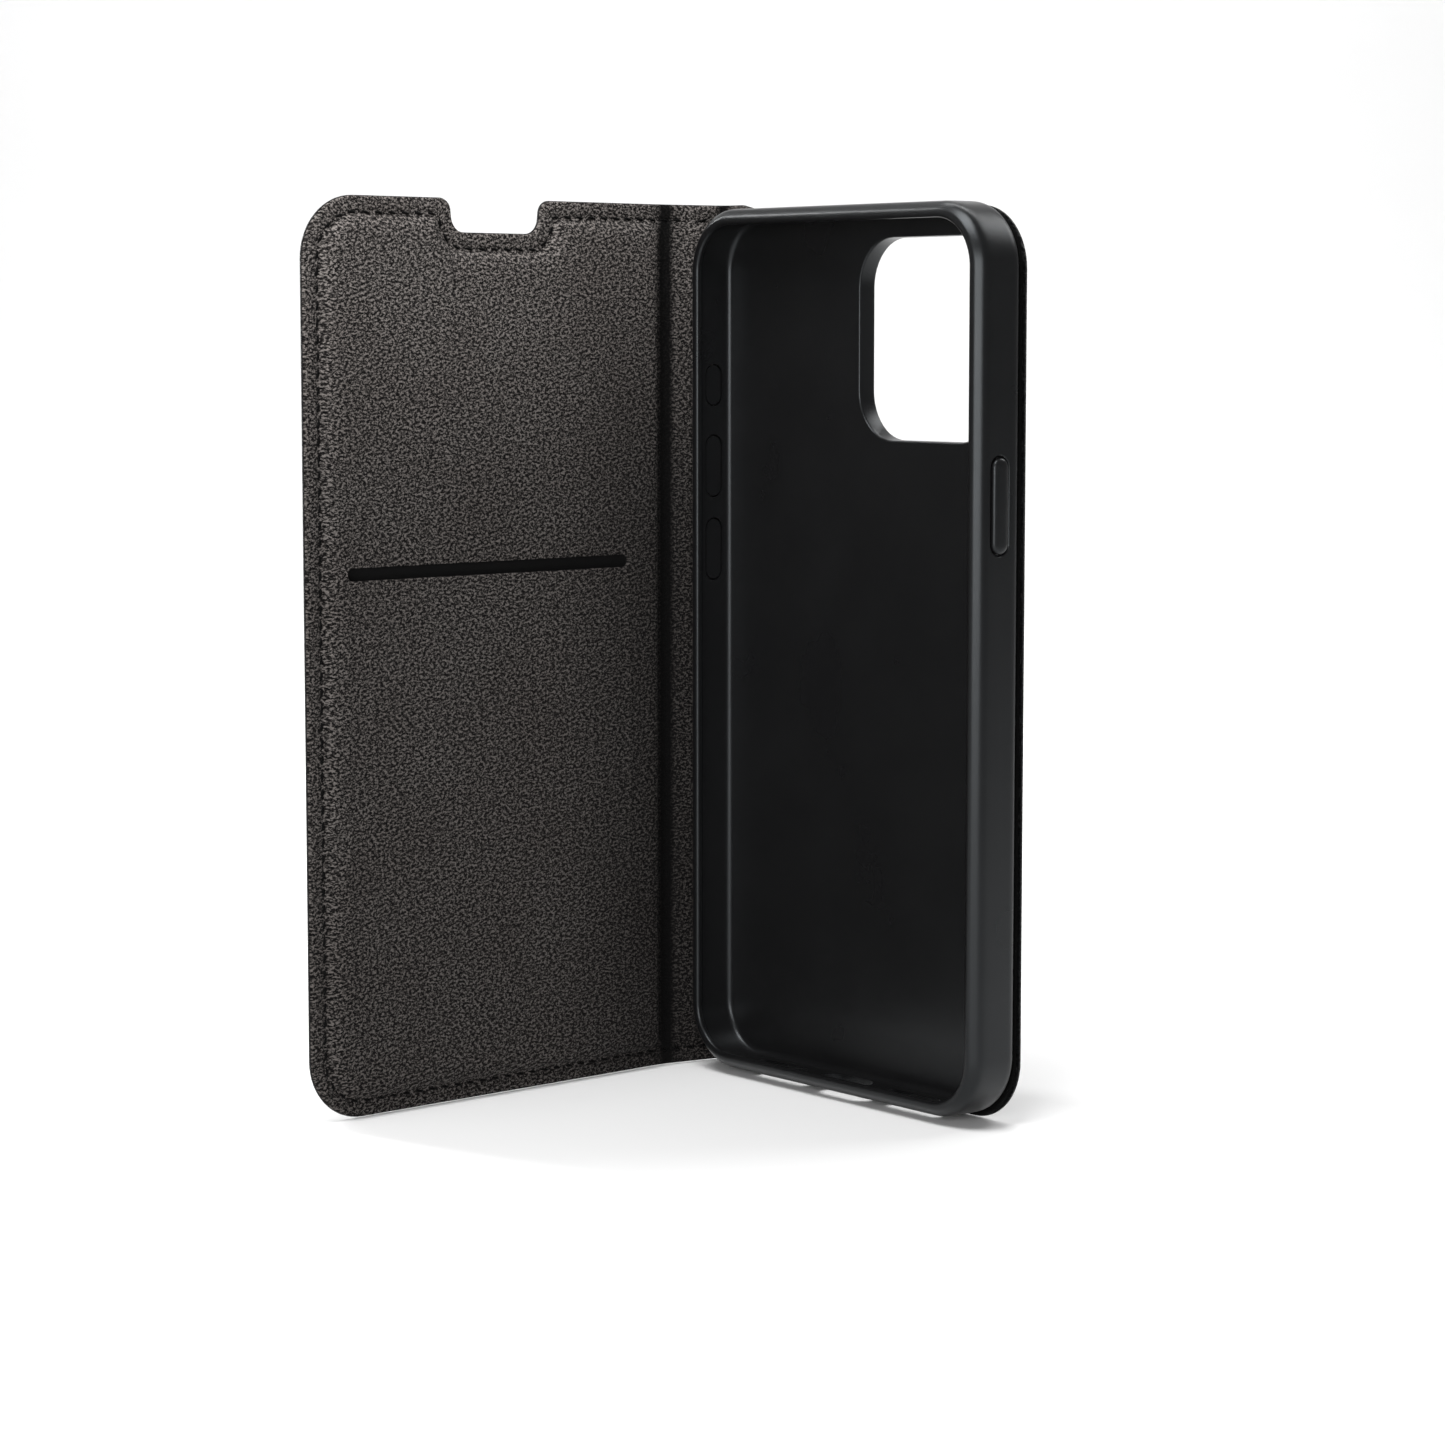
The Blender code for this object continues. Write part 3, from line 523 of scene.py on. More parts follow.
class Graph:
    """A material's nodes, made one call at a time."""

    def __init__(self, name):
        self.material = bpy.data.materials.new(name)
        self.material.use_nodes = True
        self.tree = self.material.node_tree
        self.shader = self.tree.nodes["Principled BSDF"]

    def node(self, kind, settings=None, **inputs):
        made = self.tree.nodes.new("ShaderNode" + kind)
        for key, value in (settings or {}).items():
            setattr(made, key, value)
        for key, value in inputs.items():
            self.put(made.inputs[key.replace("_", " ")], value)
        return made

    def put(self, socket, value):
        if isinstance(value, bpy.types.NodeSocket):
            self.tree.links.new(value, socket)
        elif isinstance(value, bpy.types.Node):
            self.tree.links.new(value.outputs[0], socket)
        else:
            socket.default_value = value

    def math(self, operation, first, second=0.0):
        made = self.tree.nodes.new("ShaderNodeMath")
        made.operation = operation
        self.put(made.inputs[0], first)
        self.put(made.inputs[1], second)
        return made

    def ramp(self, value, stops, smooth=False):
        """stops lists (position, grey) or (position, colour)."""
        made = self.tree.nodes.new("ShaderNodeValToRGB")
        made.color_ramp.interpolation = "EASE" if smooth else "LINEAR"
        elements = made.color_ramp.elements
        while len(elements) < len(stops):
            elements.new(0.5)
        for element, (position, colour) in zip(elements, stops):
            element.position = position
            element.color = (*((colour,) * 3 if isinstance(colour, float) else colour), 1.0)
        self.put(made.inputs[0], value)
        return made

    def mix(self, share, first, second, blend="MIX"):
        made = self.tree.nodes.new("ShaderNodeMix")
        made.data_type, made.blend_type = "RGBA", blend
        self.put(made.inputs["Factor"], share)
        self.put(made.inputs[6], first)
        self.put(made.inputs[7], second)
        return made.outputs[2]

    def pattern(self, scale=(1.0, 1.0, 1.0), turn=0.0):
        uv = self.node("UVMap", {"uv_map": "pattern"})
        return self.node("Mapping", Vector=uv, Scale=scale, Rotation=(0.0, 0.0, turn))

    def noise(self, vector, scale, detail=2.0, roughness=0.5):
        return self.node("TexNoise", Vector=vector, Scale=scale, Detail=detail, Roughness=roughness)

    def bump(self, height, distance, strength=1.0):
        return self.node("Bump", Height=height, Distance=distance, Strength=strength)

    def finish(self, **inputs):
        """Sets the surface's own inputs and returns the material."""
        for key, value in inputs.items():
            self.put(self.shader.inputs[key.replace("_", " ")], value)
        return self.material


def leather_finish(name):
    """Black leather with a pebbled grain of 1 to 2 mm, drawn out across the panel, and finer creases."""
    g = Graph(name)
    base = g.pattern((1.0, 2.1, 1.0))
    drift = g.noise(base, 22.0, 2.0)
    shift = g.node("VectorMath", {"operation": "SCALE"}, Vector=drift.outputs["Color"], Scale=0.030)
    wandering = g.node("VectorMath", {"operation": "ADD"})
    g.put(wandering.inputs[0], base)
    g.put(wandering.inputs[1], shift)
    cells = g.node("TexVoronoi", {"feature": "DISTANCE_TO_EDGE"}, Vector=wandering, Scale=37.0)
    small = g.node("TexVoronoi", {"feature": "DISTANCE_TO_EDGE"}, Vector=wandering, Scale=100.0)
    pebbles = g.ramp(cells, [(0.0, 0.0), (0.10, 0.45), (0.26, 0.82), (0.55, 1.0)])
    creases = g.ramp(small, [(0.0, 0.0), (0.20, 0.7), (0.45, 1.0)])
    pores = g.noise(base, 420.0, 3.0, 0.6)
    patches = g.noise(base, 9.0, 2.0)
    grain = g.math("MULTIPLY", pebbles, g.math("ADD", g.math("MULTIPLY", patches, 0.6), 0.55))
    height = g.math("ADD", grain, g.math("MULTIPLY", creases, 0.14))
    height = g.math("ADD", height, g.math("MULTIPLY", pores, 0.14))
    colour = g.mix(grain, (0.0010, 0.0010, 0.0012, 1), (0.0042, 0.0042, 0.0048, 1))
    rough = g.math("SUBTRACT", 0.60, g.math("MULTIPLY", pebbles, 0.28))
    rough = g.math("ADD", rough, g.math("MULTIPLY", g.math("SUBTRACT", patches, 0.5), 0.22))
    bumps = g.bump(height, 0.30 * MM)
    return g.finish(Base_Color=colour, Roughness=rough, Normal=bumps, Specular_IOR_Level=0.20)


def painted_crease_shade(g, across):
    """1 in the two folds, where the shade in the creases is painted dark, falling to 0 beside them."""
    shares = []
    for fold in (0.5 * MM, SPINE_PITCH - 0.5 * MM):
        offset = g.math("ABSOLUTE", g.math("SUBTRACT", across, fold * 10))
        shares.append(g.ramp(g.math("MULTIPLY", offset, 24.0), [(0.22, 1.0), (0.50, 0.35), (1.0, 0.0)]))
    return g.math("MAXIMUM", shares[0], shares[1])


def painted_fold_shadow(g, across, height):
    """1 low down beside the cover's fold, where a shadow is painted dark, falling to 0 over the cover."""
    offset = g.math("ABSOLUTE", g.math("SUBTRACT", across, SPINE_PITCH * 10))
    beside = g.ramp(g.math("DIVIDE", offset, 34 * MM * 10), [(0.0, 1.0), (1.0, 0.0)], smooth=True)
    low = g.ramp(g.math("DIVIDE", height, HEIGHT * 10), [(0.55, 1.0), (1.0, 0.15)], smooth=True)
    return g.math("MULTIPLY", beside, low)


def microfibre_finish(name):
    """Dark grey microfibre: fine light and dark specks over a slanted weave, browner in broad patches."""
    g = Graph(name)
    base = g.pattern()
    slanted = g.pattern((1.0, 1.6, 1.0), math.radians(28))
    specks = g.noise(slanted, 140.0, 3.0, 0.72)
    threads = g.noise(base, 280.0, 2.0, 0.6)
    broad = g.noise(base, 5.0, 3.0, 0.55)
    mottle = g.math("ADD", g.math("MULTIPLY", specks, 0.66), g.math("MULTIPLY", threads, 0.34))
    dark = g.ramp(mottle, [(0.445, 0.0), (0.505, 0.16), (0.56, 1.0)])
    tone = g.mix(broad, (0.158, 0.138, 0.128, 1), (0.240, 0.223, 0.212, 1))
    shade = g.mix(dark, (0.005, 0.0045, 0.0045, 1), tone)
    split = g.node("SeparateXYZ", Vector=base)
    across, height = split.outputs["X"], split.outputs["Y"]
    upwards = g.math("DIVIDE", height, HEIGHT * 10)
    # Painted shade: the lining's colour is darker towards the bottom and lighter towards the top, as the light
    # falls.
    painted_height_shade = g.ramp(upwards, [(0.0, 0.48), (0.6, 0.58), (1.0, 0.98)], smooth=True)
    shade = g.mix(1.0, shade, painted_height_shade, "MULTIPLY")
    black = (0.0025, 0.0025, 0.0025, 1)
    # Painted shadow: low down beside the cover's fold the lining's colour is darkened towards black.
    shade = g.mix(g.math("MULTIPLY", painted_fold_shadow(g, across, height), 0.55), shade, black)
    # Painted shade: the lining's colour is darkened towards black in the creases of both folds.
    shade = g.mix(g.math("MULTIPLY", painted_crease_shade(g, across), 0.97), shade, black)
    # More than 9 mm behind the back fold, behind the tray, the lining's colour is blended to black
    behind = g.ramp(g.math("MULTIPLY", across, -1.0), [(9 * MM * 10, 0.0), (14 * MM * 10, 1.0)])
    shade = g.mix(behind, shade, black)
    fuzz = g.math("ADD", g.math("MULTIPLY", specks, 0.8), g.math("MULTIPLY", threads, 0.5))
    return g.finish(
        Base_Color=shade,
        Roughness=0.95,
        Specular_IOR_Level=0.05,
        Sheen_Weight=0.012,
        Sheen_Roughness=0.5,
        Normal=g.bump(fuzz, 0.34 * MM, 0.9),
    )


def tpu_finish(name, roughness):
    """Black flexible plastic with a fine eroded texture."""
    g = Graph(name)
    place = g.node("TexCoord").outputs["Object"]
    fine = g.noise(place, 9000.0, 2.0, 0.55)
    broad = g.noise(place, 60.0, 3.0, 0.5)
    return g.finish(
        Base_Color=g.mix(broad, (0.0045, 0.0045, 0.0048, 1), (0.0065, 0.0065, 0.0068, 1)),
        Specular_IOR_Level=0.28,
        Specular_Tint=(0.90, 0.96, 1.0, 1.0),
        Roughness=g.math("ADD", roughness - 0.05, g.math("MULTIPLY", broad, 0.10)),
        Normal=g.bump(fine, 0.02 * MM, 0.7),
    )


def thread_finish(name, colour, shine):
    """Twisted thread: slanted ridges along its length."""
    g = Graph(name)
    across = {"bands_direction": "DIAGONAL"}
    twist = g.node("TexWave", across, Vector=g.pattern(), Scale=130.0, Distortion=0.6).outputs["Fac"]
    darker = tuple(channel * 0.35 for channel in colour)
    return g.finish(
        Base_Color=g.mix(twist, (*darker, 1), (*colour, 1)),
        Roughness=0.42,
        Specular_IOR_Level=shine,
        Normal=g.bump(twist, 0.05 * MM, 0.8),
    )


def board_finish(name, colour):
    """Fibre board, faintly mottled."""
    g = Graph(name)
    place = g.node("TexCoord").outputs["Object"]
    fibres = g.noise(place, 2500.0, 3.0, 0.6)
    lighter = tuple(channel * 1.6 for channel in colour)
    return g.finish(
        Base_Color=g.mix(fibres, (*colour, 1), (*lighter, 1)),
        Roughness=0.9,
        Specular_IOR_Level=0.1,
        Normal=g.bump(fibres, 0.05 * MM, 0.5),
    )


# ---------------- leather


def spine_bulge(a):
    """The leather stands proud along the spine and dips at the two pressed folds."""
    across = np.clip((a - MID_SPINE) / (MID_SPINE - 2.2 * MM), -1, 1)
    bulge = -0.35 * MM * (1 - across**2)
    dips = sum(0.22 * MM * np.exp(-(((a - fold) / (0.8 * MM)) ** 2)) for fold in (0.0, SPINE_PITCH))
    return bulge + dips


def cover_leather_front(flat):
    edge = np.minimum(flat[:, 1], HEIGHT - flat[:, 1])
    return flat[:, 2] + spine_bulge(flat[:, 0]) * smooth_step(edge, 0.6 * MM, 5.0 * MM)


def back_leather_front(flat):
    """As the cover's, and rising to meet it along the middle of the spine."""
    edge = np.minimum(flat[:, 1], HEIGHT - flat[:, 1])
    insets, depths = np.array(LEATHER_GROOVE[-2:] + LEATHER_RISE).T * MM
    depths[0] = 0.0
    rise = np.interp(edge, insets, depths) * (1 - smooth_step(flat[:, 0], -4.0 * MM, 2.0 * MM))
    return flat[:, 2] + rise + spine_bulge(-flat[:, 0]) * smooth_step(edge, 0.6 * MM, 5.0 * MM)


def flat_back(depth):
    return lambda flat: np.full(len(flat), depth)


def lattice(columns, rows):
    return [(c, r) for c in columns for r in rows]


def make_cover_leather(finish):
    pattern = Pattern()
    _, rim = pattern.band(cover_outline, LEATHER_EDGE + LEATHER_GROOVE + LEATHER_RISE, closed=False)
    level = LEATHER_RISE[-1][1] * MM
    pattern.fill(pattern.spine_side(rim, level), (), lattice(cover_columns(), LATTICE_ROWS), level)
    back = flat_back(LEATHER_INNER)
    return sheet_object("cover_leather", pattern, cover_leather_front, back, on_sheet, finish)


def make_back_leather(finish):
    pattern = Pattern()
    _, rim = pattern.band(back_outline, LEATHER_EDGE + LEATHER_GROOVE[:-1], closed=False)
    _, window = pattern.band(window_outline, LEATHER_HOLE)
    pattern.fill(pattern.spine_side(rim, 0.0), [window], lattice(back_columns(), LATTICE_ROWS))
    back = flat_back(LEATHER_INNER)
    return sheet_object("back_leather", pattern, back_leather_front, back, back_place, finish)


# ---------------- lining


def spine_pad(a):
    """How far the lining stands up over the spine's stiffener, and how it is pinched at the folds."""
    half = MID_SPINE - 2.6 * MM
    pad = SPINE_PAD * (1 - smooth_step(np.abs(a - MID_SPINE), half - 0.6 * MM, half + 0.5 * MM))
    return pad - sum(FOLD_PINCH * np.exp(-(((a - fold) / (1.1 * MM)) ** 2)) for fold in (0.0, SPINE_PITCH))


def lining_front(flip):
    """The depth of the lining's face. flip is -1 on the back panel, whose patterns run against a."""

    def depth(flat):
        edge = np.minimum(flat[:, 1], HEIGHT - flat[:, 1])
        return flat[:, 2] + spine_pad(flip * flat[:, 0]) * smooth_step(edge, 3.3 * MM, 5.5 * MM)

    return depth


def pocket_relief(u, z):
    """The card pocket under the lining: its side and bottom edges show as faint ridges."""
    left, right = SLOT_CENTRE_U - SLOT_LENGTH / 2, SLOT_CENTRE_U + SLOT_LENGTH / 2

    def ridge(distance):
        return np.exp(-((distance / (0.6 * MM)) ** 2))

    def past(value, edge):
        return smooth_step(value, edge - 1 * MM, edge + 1 * MM)

    beside = past(z, POCKET_BOTTOM) * (1 - smooth_step(z, SLOT_CENTRE_Z, SLOT_CENTRE_Z + 3 * MM))
    under = past(u, left) * (1 - past(u, right))
    sides = (ridge(u - left) + ridge(u - right)) * beside
    return 0.16 * MM * np.maximum(sides, ridge(z - POCKET_BOTTOM) * under) - 0.08 * MM * under * beside


def slot_outline(grow):
    half_length, half_height = SLOT_LENGTH / 2 + grow, SLOT_HEIGHT / 2 + grow
    middle = SPINE_PITCH + SLOT_CENTRE_U
    outline = box_outline(
        middle - half_length,
        middle + half_length,
        SLOT_CENTRE_Z - half_height,
        SLOT_CENTRE_Z + half_height,
        SLOT_HEIGHT / 2 * 0.98 + grow,
        8,
    )
    return with_stations(outline, evenly(middle - 30 * MM, middle + 30 * MM, 3 * MM), [])


def make_cover_lining(finish):
    """The cover's lining: a stitched border, the pan raised over the board, and the card slot in it."""
    pattern = Pattern()
    _, rim = pattern.band(cover_outline, LINING_EDGE + LINING_GROOVE, closed=False)
    foot, top = pattern.band(lambda inset, fold: pan_outline(inset, PAN_FOLD_SIDE + fold), PAN_RISE)
    folds = [c for c in cover_columns() if c < SPINE_PITCH + PAN_FOLD_SIDE - 0.3 * MM]
    rim = pattern.spine_side(rim, LINING_LEVEL)
    pattern.fill(rim, [foot], lattice(folds, LATTICE_ROWS), LINING_LEVEL, 0.15 * MM)

    _, mouth = pattern.band(slot_outline, SLOT_EDGE)
    columns = evenly(SPINE_PITCH + 5 * MM, SPINE_PITCH + COVER_WIDTH - 5 * MM, 2.2 * MM)
    rows = evenly(5 * MM, HEIGHT - 5 * MM, 2.4 * MM)
    # Closer together over the pocket's ridges
    steps = [step * MM for step in (-1.2, -0.8, -0.4, 0, 0.4, 0.8, 1.2)]
    for side in (-SLOT_LENGTH / 2, SLOT_LENGTH / 2):
        columns += [SPINE_PITCH + SLOT_CENTRE_U + side + step for step in steps]
    rows += [POCKET_BOTTOM + step for step in steps]
    pattern.fill(top, [mouth], lattice(columns, rows), RAISED, 0.7 * MM)

    front = lining_front(1)

    def face(flat):
        relief = pocket_relief(flat[:, 0] - SPINE_PITCH, flat[:, 1])
        return front(flat) + relief * smooth_step(flat[:, 2], 2.95 * MM, 3.05 * MM)

    def behind(flat):
        return np.maximum(face(flat) - LINING_CLOTH, LINING_BACK)

    return sheet_object("cover_lining_cloth", pattern, face, behind, on_sheet, finish)


def make_back_lining(finish):
    pattern = Pattern()
    edge = LINING_EDGE + LINING_GROOVE[:-1]
    _, rim = pattern.band(lambda inset: back_outline(inset, 0.5 * MM), edge, closed=False)
    rim = pattern.spine_side(rim, LINING_LEVEL)
    window = pattern.add(window_outline(1.4 * MM), LINING_LEVEL)
    pattern.fill(rim, [window], lattice(back_columns(), LATTICE_ROWS), LINING_LEVEL)
    back = flat_back(LINING_BACK)
    return sheet_object("back_lining_cloth", pattern, lining_front(-1), back, back_place, finish)


# ---------------- stitches


class Run:
    """A path of (u, z) points that can be walked by distance."""

    def __init__(self, path):
        self.path = np.array(path)
        steps = np.hypot(*np.diff(self.path, axis=0).T)
        self.travelled = np.concatenate([[0.0], np.cumsum(steps)])
        self.length = self.travelled[-1]

    def point(self, distance):
        return np.array([np.interp(distance, self.travelled, self.path[:, i]) for i in (0, 1)])

    def direction(self, distance):
        step = self.point(distance + 0.05 * MM) - self.point(distance - 0.05 * MM)
        return step / np.linalg.norm(step)


def stitches(name, outline, place, finish, stitch, until=math.inf):
    """One mesh of stitches along an outline. Each bows out of the groove and dives into it at both ends.

    Stitches past u = until are left out.
    """
    depth, inwards, length, radius, sink = stitch
    run = Run(outline)
    points, faces, uvs = [], [], []
    for distance in np.arange(STITCH_PITCH / 2, run.length - STITCH_PITCH / 2, STITCH_PITCH):
        if run.point(distance)[0] > until:
            continue
        base = len(points)
        for ring in range(STITCH_RINGS):
            t = ring / (STITCH_RINGS - 1)
            along = distance + (t - 0.5) * length
            centre, tangent = run.point(along), run.direction(along)
            normal = np.array([-tangent[1], tangent[0]])
            swell = math.sin(math.pi * min(max(t, 0.04), 0.96)) ** 0.35
            bow = math.sin(math.pi * t) ** 0.6
            slant = (t - 0.5) * 0.16 * length
            for side in range(STITCH_SIDES):
                angle = 2 * math.pi * side / STITCH_SIDES
                u, z = centre + normal * (math.cos(angle) * radius * swell + slant)
                out = math.sin(angle) * radius * swell * 0.85
                points.append((u, depth + inwards * (out - sink * (1 - bow)), z))
                uvs.append((along * 10, angle / (2 * math.pi) * 0.012))
        for ring in range(STITCH_RINGS - 1):
            low, high = base + ring * STITCH_SIDES, base + (ring + 1) * STITCH_SIDES
            for side in range(STITCH_SIDES):
                beside = (side + 1) % STITCH_SIDES
                faces.append((low + side, low + beside, high + beside, high + side))
        top = base + (STITCH_RINGS - 1) * STITCH_SIDES
        faces += [tuple(start + side for side in range(STITCH_SIDES)) for start in (base, top)]
    flat = np.array(points)
    return surface(name, place(flat[:, 0], flat[:, 1], flat[:, 2]), faces, uvs, finish, 60)


# ---------------- tray


def shell_outline(inset):
    corners = [
        (SHELL_LEFT, SHELL_BOTTOM, SHELL_CORNER, 24),
        (SHELL_RIGHT, SHELL_BOTTOM, SHELL_CORNER, 24),
        (SHELL_RIGHT, SHELL_TOP, SHELL_CORNER, 24),
        (SHELL_LEFT, SHELL_TOP, SHELL_CORNER, 24),
    ]
    return rounded(corners, [inset] * 4)


# (distance in from the outline, distance from the back, the front or the floor) in mm
SHELL_FOOT = [(2.4, 0.0), (1.5, 0.03), (0.9, 0.20), (0.45, 0.50), (0.15, 0.95), (0.03, 1.5), (0.0, 2.2)]
SHELL_LIP = [(0.0, -3.6), (0.02, -2.7), (0.08, -2.1), (0.20, -1.6), (0.42, -1.18), (0.72, -0.84)]
SHELL_LIP += [(1.05, -0.52), (1.36, -0.25), (1.62, -0.07), (1.90, 0.0), (2.35, 0.0), (2.62, -0.05)]
SHELL_LIP += [(2.85, -0.18), (2.97, -0.38), (3.0, -0.62), (2.98, -0.95), (2.80, -1.15), (2.35, -1.27)]
SHELL_LIP += [(1.95, -1.35), (1.82, -1.5), (1.80, -1.9)]
SHELL_COVE = [(1.80, 1.4), (1.88, 0.85), (2.10, 0.42), (2.50, 0.13), (3.1, 0.0)]
# (distance out from the camera window, depth) in mm, from the tray's back round the rim to its floor
RIM_SECTION = [(1.75, 2.0), (1.45, 1.92), (1.32, 1.75), (1.30, 1.5), (1.30, -0.35), (1.25, -0.55)]
RIM_SECTION += [(1.10, -0.70), (0.90, -0.78), (0.65, -0.80), (0.40, -0.76), (0.18, -0.62), (0.04, -0.40)]
RIM_SECTION += [(0.0, -0.15), (0.0, 2.75), (0.05, 2.98), (0.18, 3.13), (0.40, 3.2)]


def shell_section():
    """(inset, depth) in mm from the back face round the outside, over the lip and down to the floor."""
    parts = ((SHELL_BACK, SHELL_FOOT), (SHELL_FRONT, SHELL_LIP), (SHELL_FLOOR, SHELL_COVE))
    return [(inset, level / MM + offset) for level, edge in parts for inset, offset in edge]


def prism(name, loops, place):
    """A closed solid through matching loops of (p, q), each at its own third coordinate r."""
    points, faces = [], []
    size = len(loops[0][0])
    for outline, r in loops:
        points += [place(p, q, r) for p, q in outline]
    for level in range(len(loops) - 1):
        low, high = level * size, (level + 1) * size
        faces += [(low + i, low + (i + 1) % size, high + (i + 1) % size, high + i) for i in range(size)]
    faces.append(tuple(range(size)))
    faces.append(tuple(range((len(loops) - 1) * size, len(loops) * size)))
    return link(name, closed_mesh(name, points, faces))


def stadium(p, q, width, height, grow=0.0, steps=10):
    """A slot's outline round its middle, round-ended along its longer side."""
    half_w, half_h = width / 2 + grow, height / 2 + grow
    radius = min(half_w, half_h) * 0.995
    return box_outline(p - half_w, p + half_w, q - half_h, q + half_h, radius, steps)


# (distance out of the wall, growth of the outline) in mm, of a cutter and of a button's face
CUTTER_FLARE = [(1.0, 0.45), (0.12, 0.36), (0.0, 0.28), (-0.10, 0.12), (-0.30, 0.02), (-0.5, 0.0)]
CUTTER_FLARE += [(-3.2, 0.0)]
BUTTON_DOME = [(0.06, -1.5), (0.05, -1.1), (0.0, -0.75), (-0.08, -0.45), (-0.2, -0.22), (-0.38, -0.06)]
BUTTON_DOME += [(-0.6, 0.0)]


def end_cutter(name, u, width, height):
    """A cutter up through the tray's bottom wall, flared at the outside to leave a rounded edge."""
    loops = []
    for out, grow in CUTTER_FLARE:
        loops.append((stadium(u, PORT_S, width, height, grow * MM), SHELL_BOTTOM - out * MM))
    return prism(name, loops, in_tray)


def button_place(node):
    """A button's middle depth and height, its width and length, its outer and inner u, and the way out."""
    low, high = tray_span(node)
    right = low[0] > (SHELL_LEFT + SHELL_RIGHT) / 2
    outer, inner, way = (high[0], low[0], 1) if right else (low[0], high[0], -1)
    middle = ((low[1] + high[1]) / 2 + AXIS_DEPTH, (low[2] + high[2]) / 2)
    return middle, (high[1] - low[1], high[2] - low[2]), outer, inner, way


def side_cutter(name, node):
    """A cutter through a side wall round one button, flared at the outside."""
    middle, (width, length), _, _, way = button_place(node)
    width, length = width + 2 * BUTTON_CLEARANCE, length + 2 * BUTTON_CLEARANCE
    face = SHELL_RIGHT if way > 0 else SHELL_LEFT
    loops = []
    for out, grow in CUTTER_FLARE:
        loops.append((stadium(*middle, width, length, grow * MM), face + way * out * MM))
    return prism(name, loops, lambda p, q, r: in_tray(r, p, q))


def cut(target, cutters):
    """Takes the cutters out of the target and removes them."""
    for cutter in cutters:
        modifier = target.modifiers.new(cutter.name, "BOOLEAN")
        modifier.operation, modifier.solver, modifier.object = "DIFFERENCE", "EXACT", cutter
    graph = bpy.context.evaluated_depsgraph_get()
    mesh = bpy.data.meshes.new_from_object(target.evaluated_get(graph))
    target.modifiers.clear()
    target.data = mesh
    for cutter in cutters:
        bpy.data.objects.remove(cutter)
    shade(mesh, 32)


def make_tray(finish):
    """The tray and the camera window's rim in one closed surface, with the openings cut in its walls."""
    pattern = Pattern()
    back, floor = pattern.band(shell_outline, shell_section())
    rim_back, rim_floor = pattern.band(window_outline, RIM_SECTION)
    pattern.fill(floor, [rim_floor])
    pattern.fill(back, [rim_back])
    flat = np.array(pattern.points)
    points = in_tray(flat[:, 0], flat[:, 2], flat[:, 1])
    tray = surface("phone_tray", points, pattern.faces, flat[:, :2] * 10, finish, 32)
    middle = (SHELL_LEFT + SHELL_RIGHT) / 2
    cutters = [end_cutter("port_cutter", middle, PORT_WIDTH, PORT_HEIGHT)]
    for u in (middle - GRILLE_OFFSET, middle + GRILLE_OFFSET):
        cutters.append(end_cutter("grille_cutter", u, GRILLE_WIDTH, GRILLE_HEIGHT))
    cutters += [side_cutter(node + "_cutter", node) for node in BUTTONS]
    cut(tray, cutters)
    return tray


def make_button(node, finish):
    """A button cap with a domed face, in the place of the CAD's plain one."""
    middle, size, outer, inner, way = button_place(node)
    loops = []
    for out, grow in BUTTON_DOME:
        loops.append((stadium(*middle, *size, grow * MM, 12), outer + way * out * MM))
    loops.append((stadium(*middle, *size, 0.0, 12), inner))
    piece = prism(node + "_cap", loops, lambda p, q, r: in_tray(r, p, q))
    shade(piece.data, 40)
    piece.data.materials.append(finish)
    return piece


# ---------------- putting it together


def bend(piece, axis_a, half):
    """Bakes the piece's placement into its mesh. The sheet's points where the fold starts and stops bending are
    found but not used: nothing blends the piece across the fold.
    """
    ends = [on_sheet(axis_a + side * half, AXIS_DEPTH, HEIGHT / 2) for side in (-1, 1)]
    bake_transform(piece)


leather = leather_finish("grained_leather")
cloth = microfibre_finish("microfibre")
tpu = tpu_finish("tray_tpu", 0.29)
button_tpu = tpu_finish("button_tpu", 0.32)
outer_thread = thread_finish("outer_thread", (0.030, 0.030, 0.033), 0.5)
inner_thread = thread_finish("inner_thread", (0.003, 0.003, 0.003), 0.05)
black_board = board_finish("black_board", (0.004, 0.004, 0.004))
glue = board_finish("adhesive_sheet", (0.30, 0.29, 0.26))

cover_leather = make_cover_leather(leather)
back_leather = make_back_leather(leather)
cover_cloth = make_cover_lining(cloth)
back_cloth = make_back_lining(cloth)
tray = make_tray(tpu)

cover_run = (cover_outline(SEAM_INSET), on_sheet)
back_run = (back_outline(SEAM_INSET), back_place)
cover_seam = stitches("cover_seam", *cover_run, outer_thread, OUTER_STITCH)
back_seam = stitches("back_seam", *back_run, outer_thread, OUTER_STITCH)
cover_bobbin = stitches("cover_bobbin_seam", *cover_run, inner_thread, INNER_STITCH)
back_bobbin = stitches("back_bobbin_seam", *back_run, inner_thread, INNER_STITCH, until=9 * MM)

for piece in (cover_leather, cover_cloth, cover_seam, cover_bobbin):
    bend(piece, SPINE_PITCH, COVER_FOLD_HALF)
for piece in (back_leather, back_cloth, back_seam, back_bobbin):
    bend(piece, 0.0, BACK_FOLD_HALF)
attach(tray, "tray")

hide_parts("cover_skin", "cover_fold_skin")
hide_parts("back_skin", "back_fold_skin", "spine_skin")
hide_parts("cover_lining", "cover_fold_lining")
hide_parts("back_lining", "back_fold_lining", "spine_lining")
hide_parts("cover_thread")
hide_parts("back_thread", "spine_thread_top", "spine_thread_bottom")
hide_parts("cover_bobbin_thread")
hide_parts("spine_bobbin_thread_top", "spine_bobbin_thread_bottom")
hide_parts("phone_shell")

for node in BUTTONS:
    cap = make_button(node, button_tpu)
    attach(cap, node)
    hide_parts(node)


def refinish(node, finish):
    """Gives a CAD node that stays a better material."""
    mesh = frame["nodes"][node]
    for slot in mesh.material_slots:
        slot.material = finish


for node in ("cover_board", "pocket_spacer", "spine_stiffener"):
    refinish(node, black_board)
refinish("shell_adhesive", glue)

# ---------------- floor, light and camera

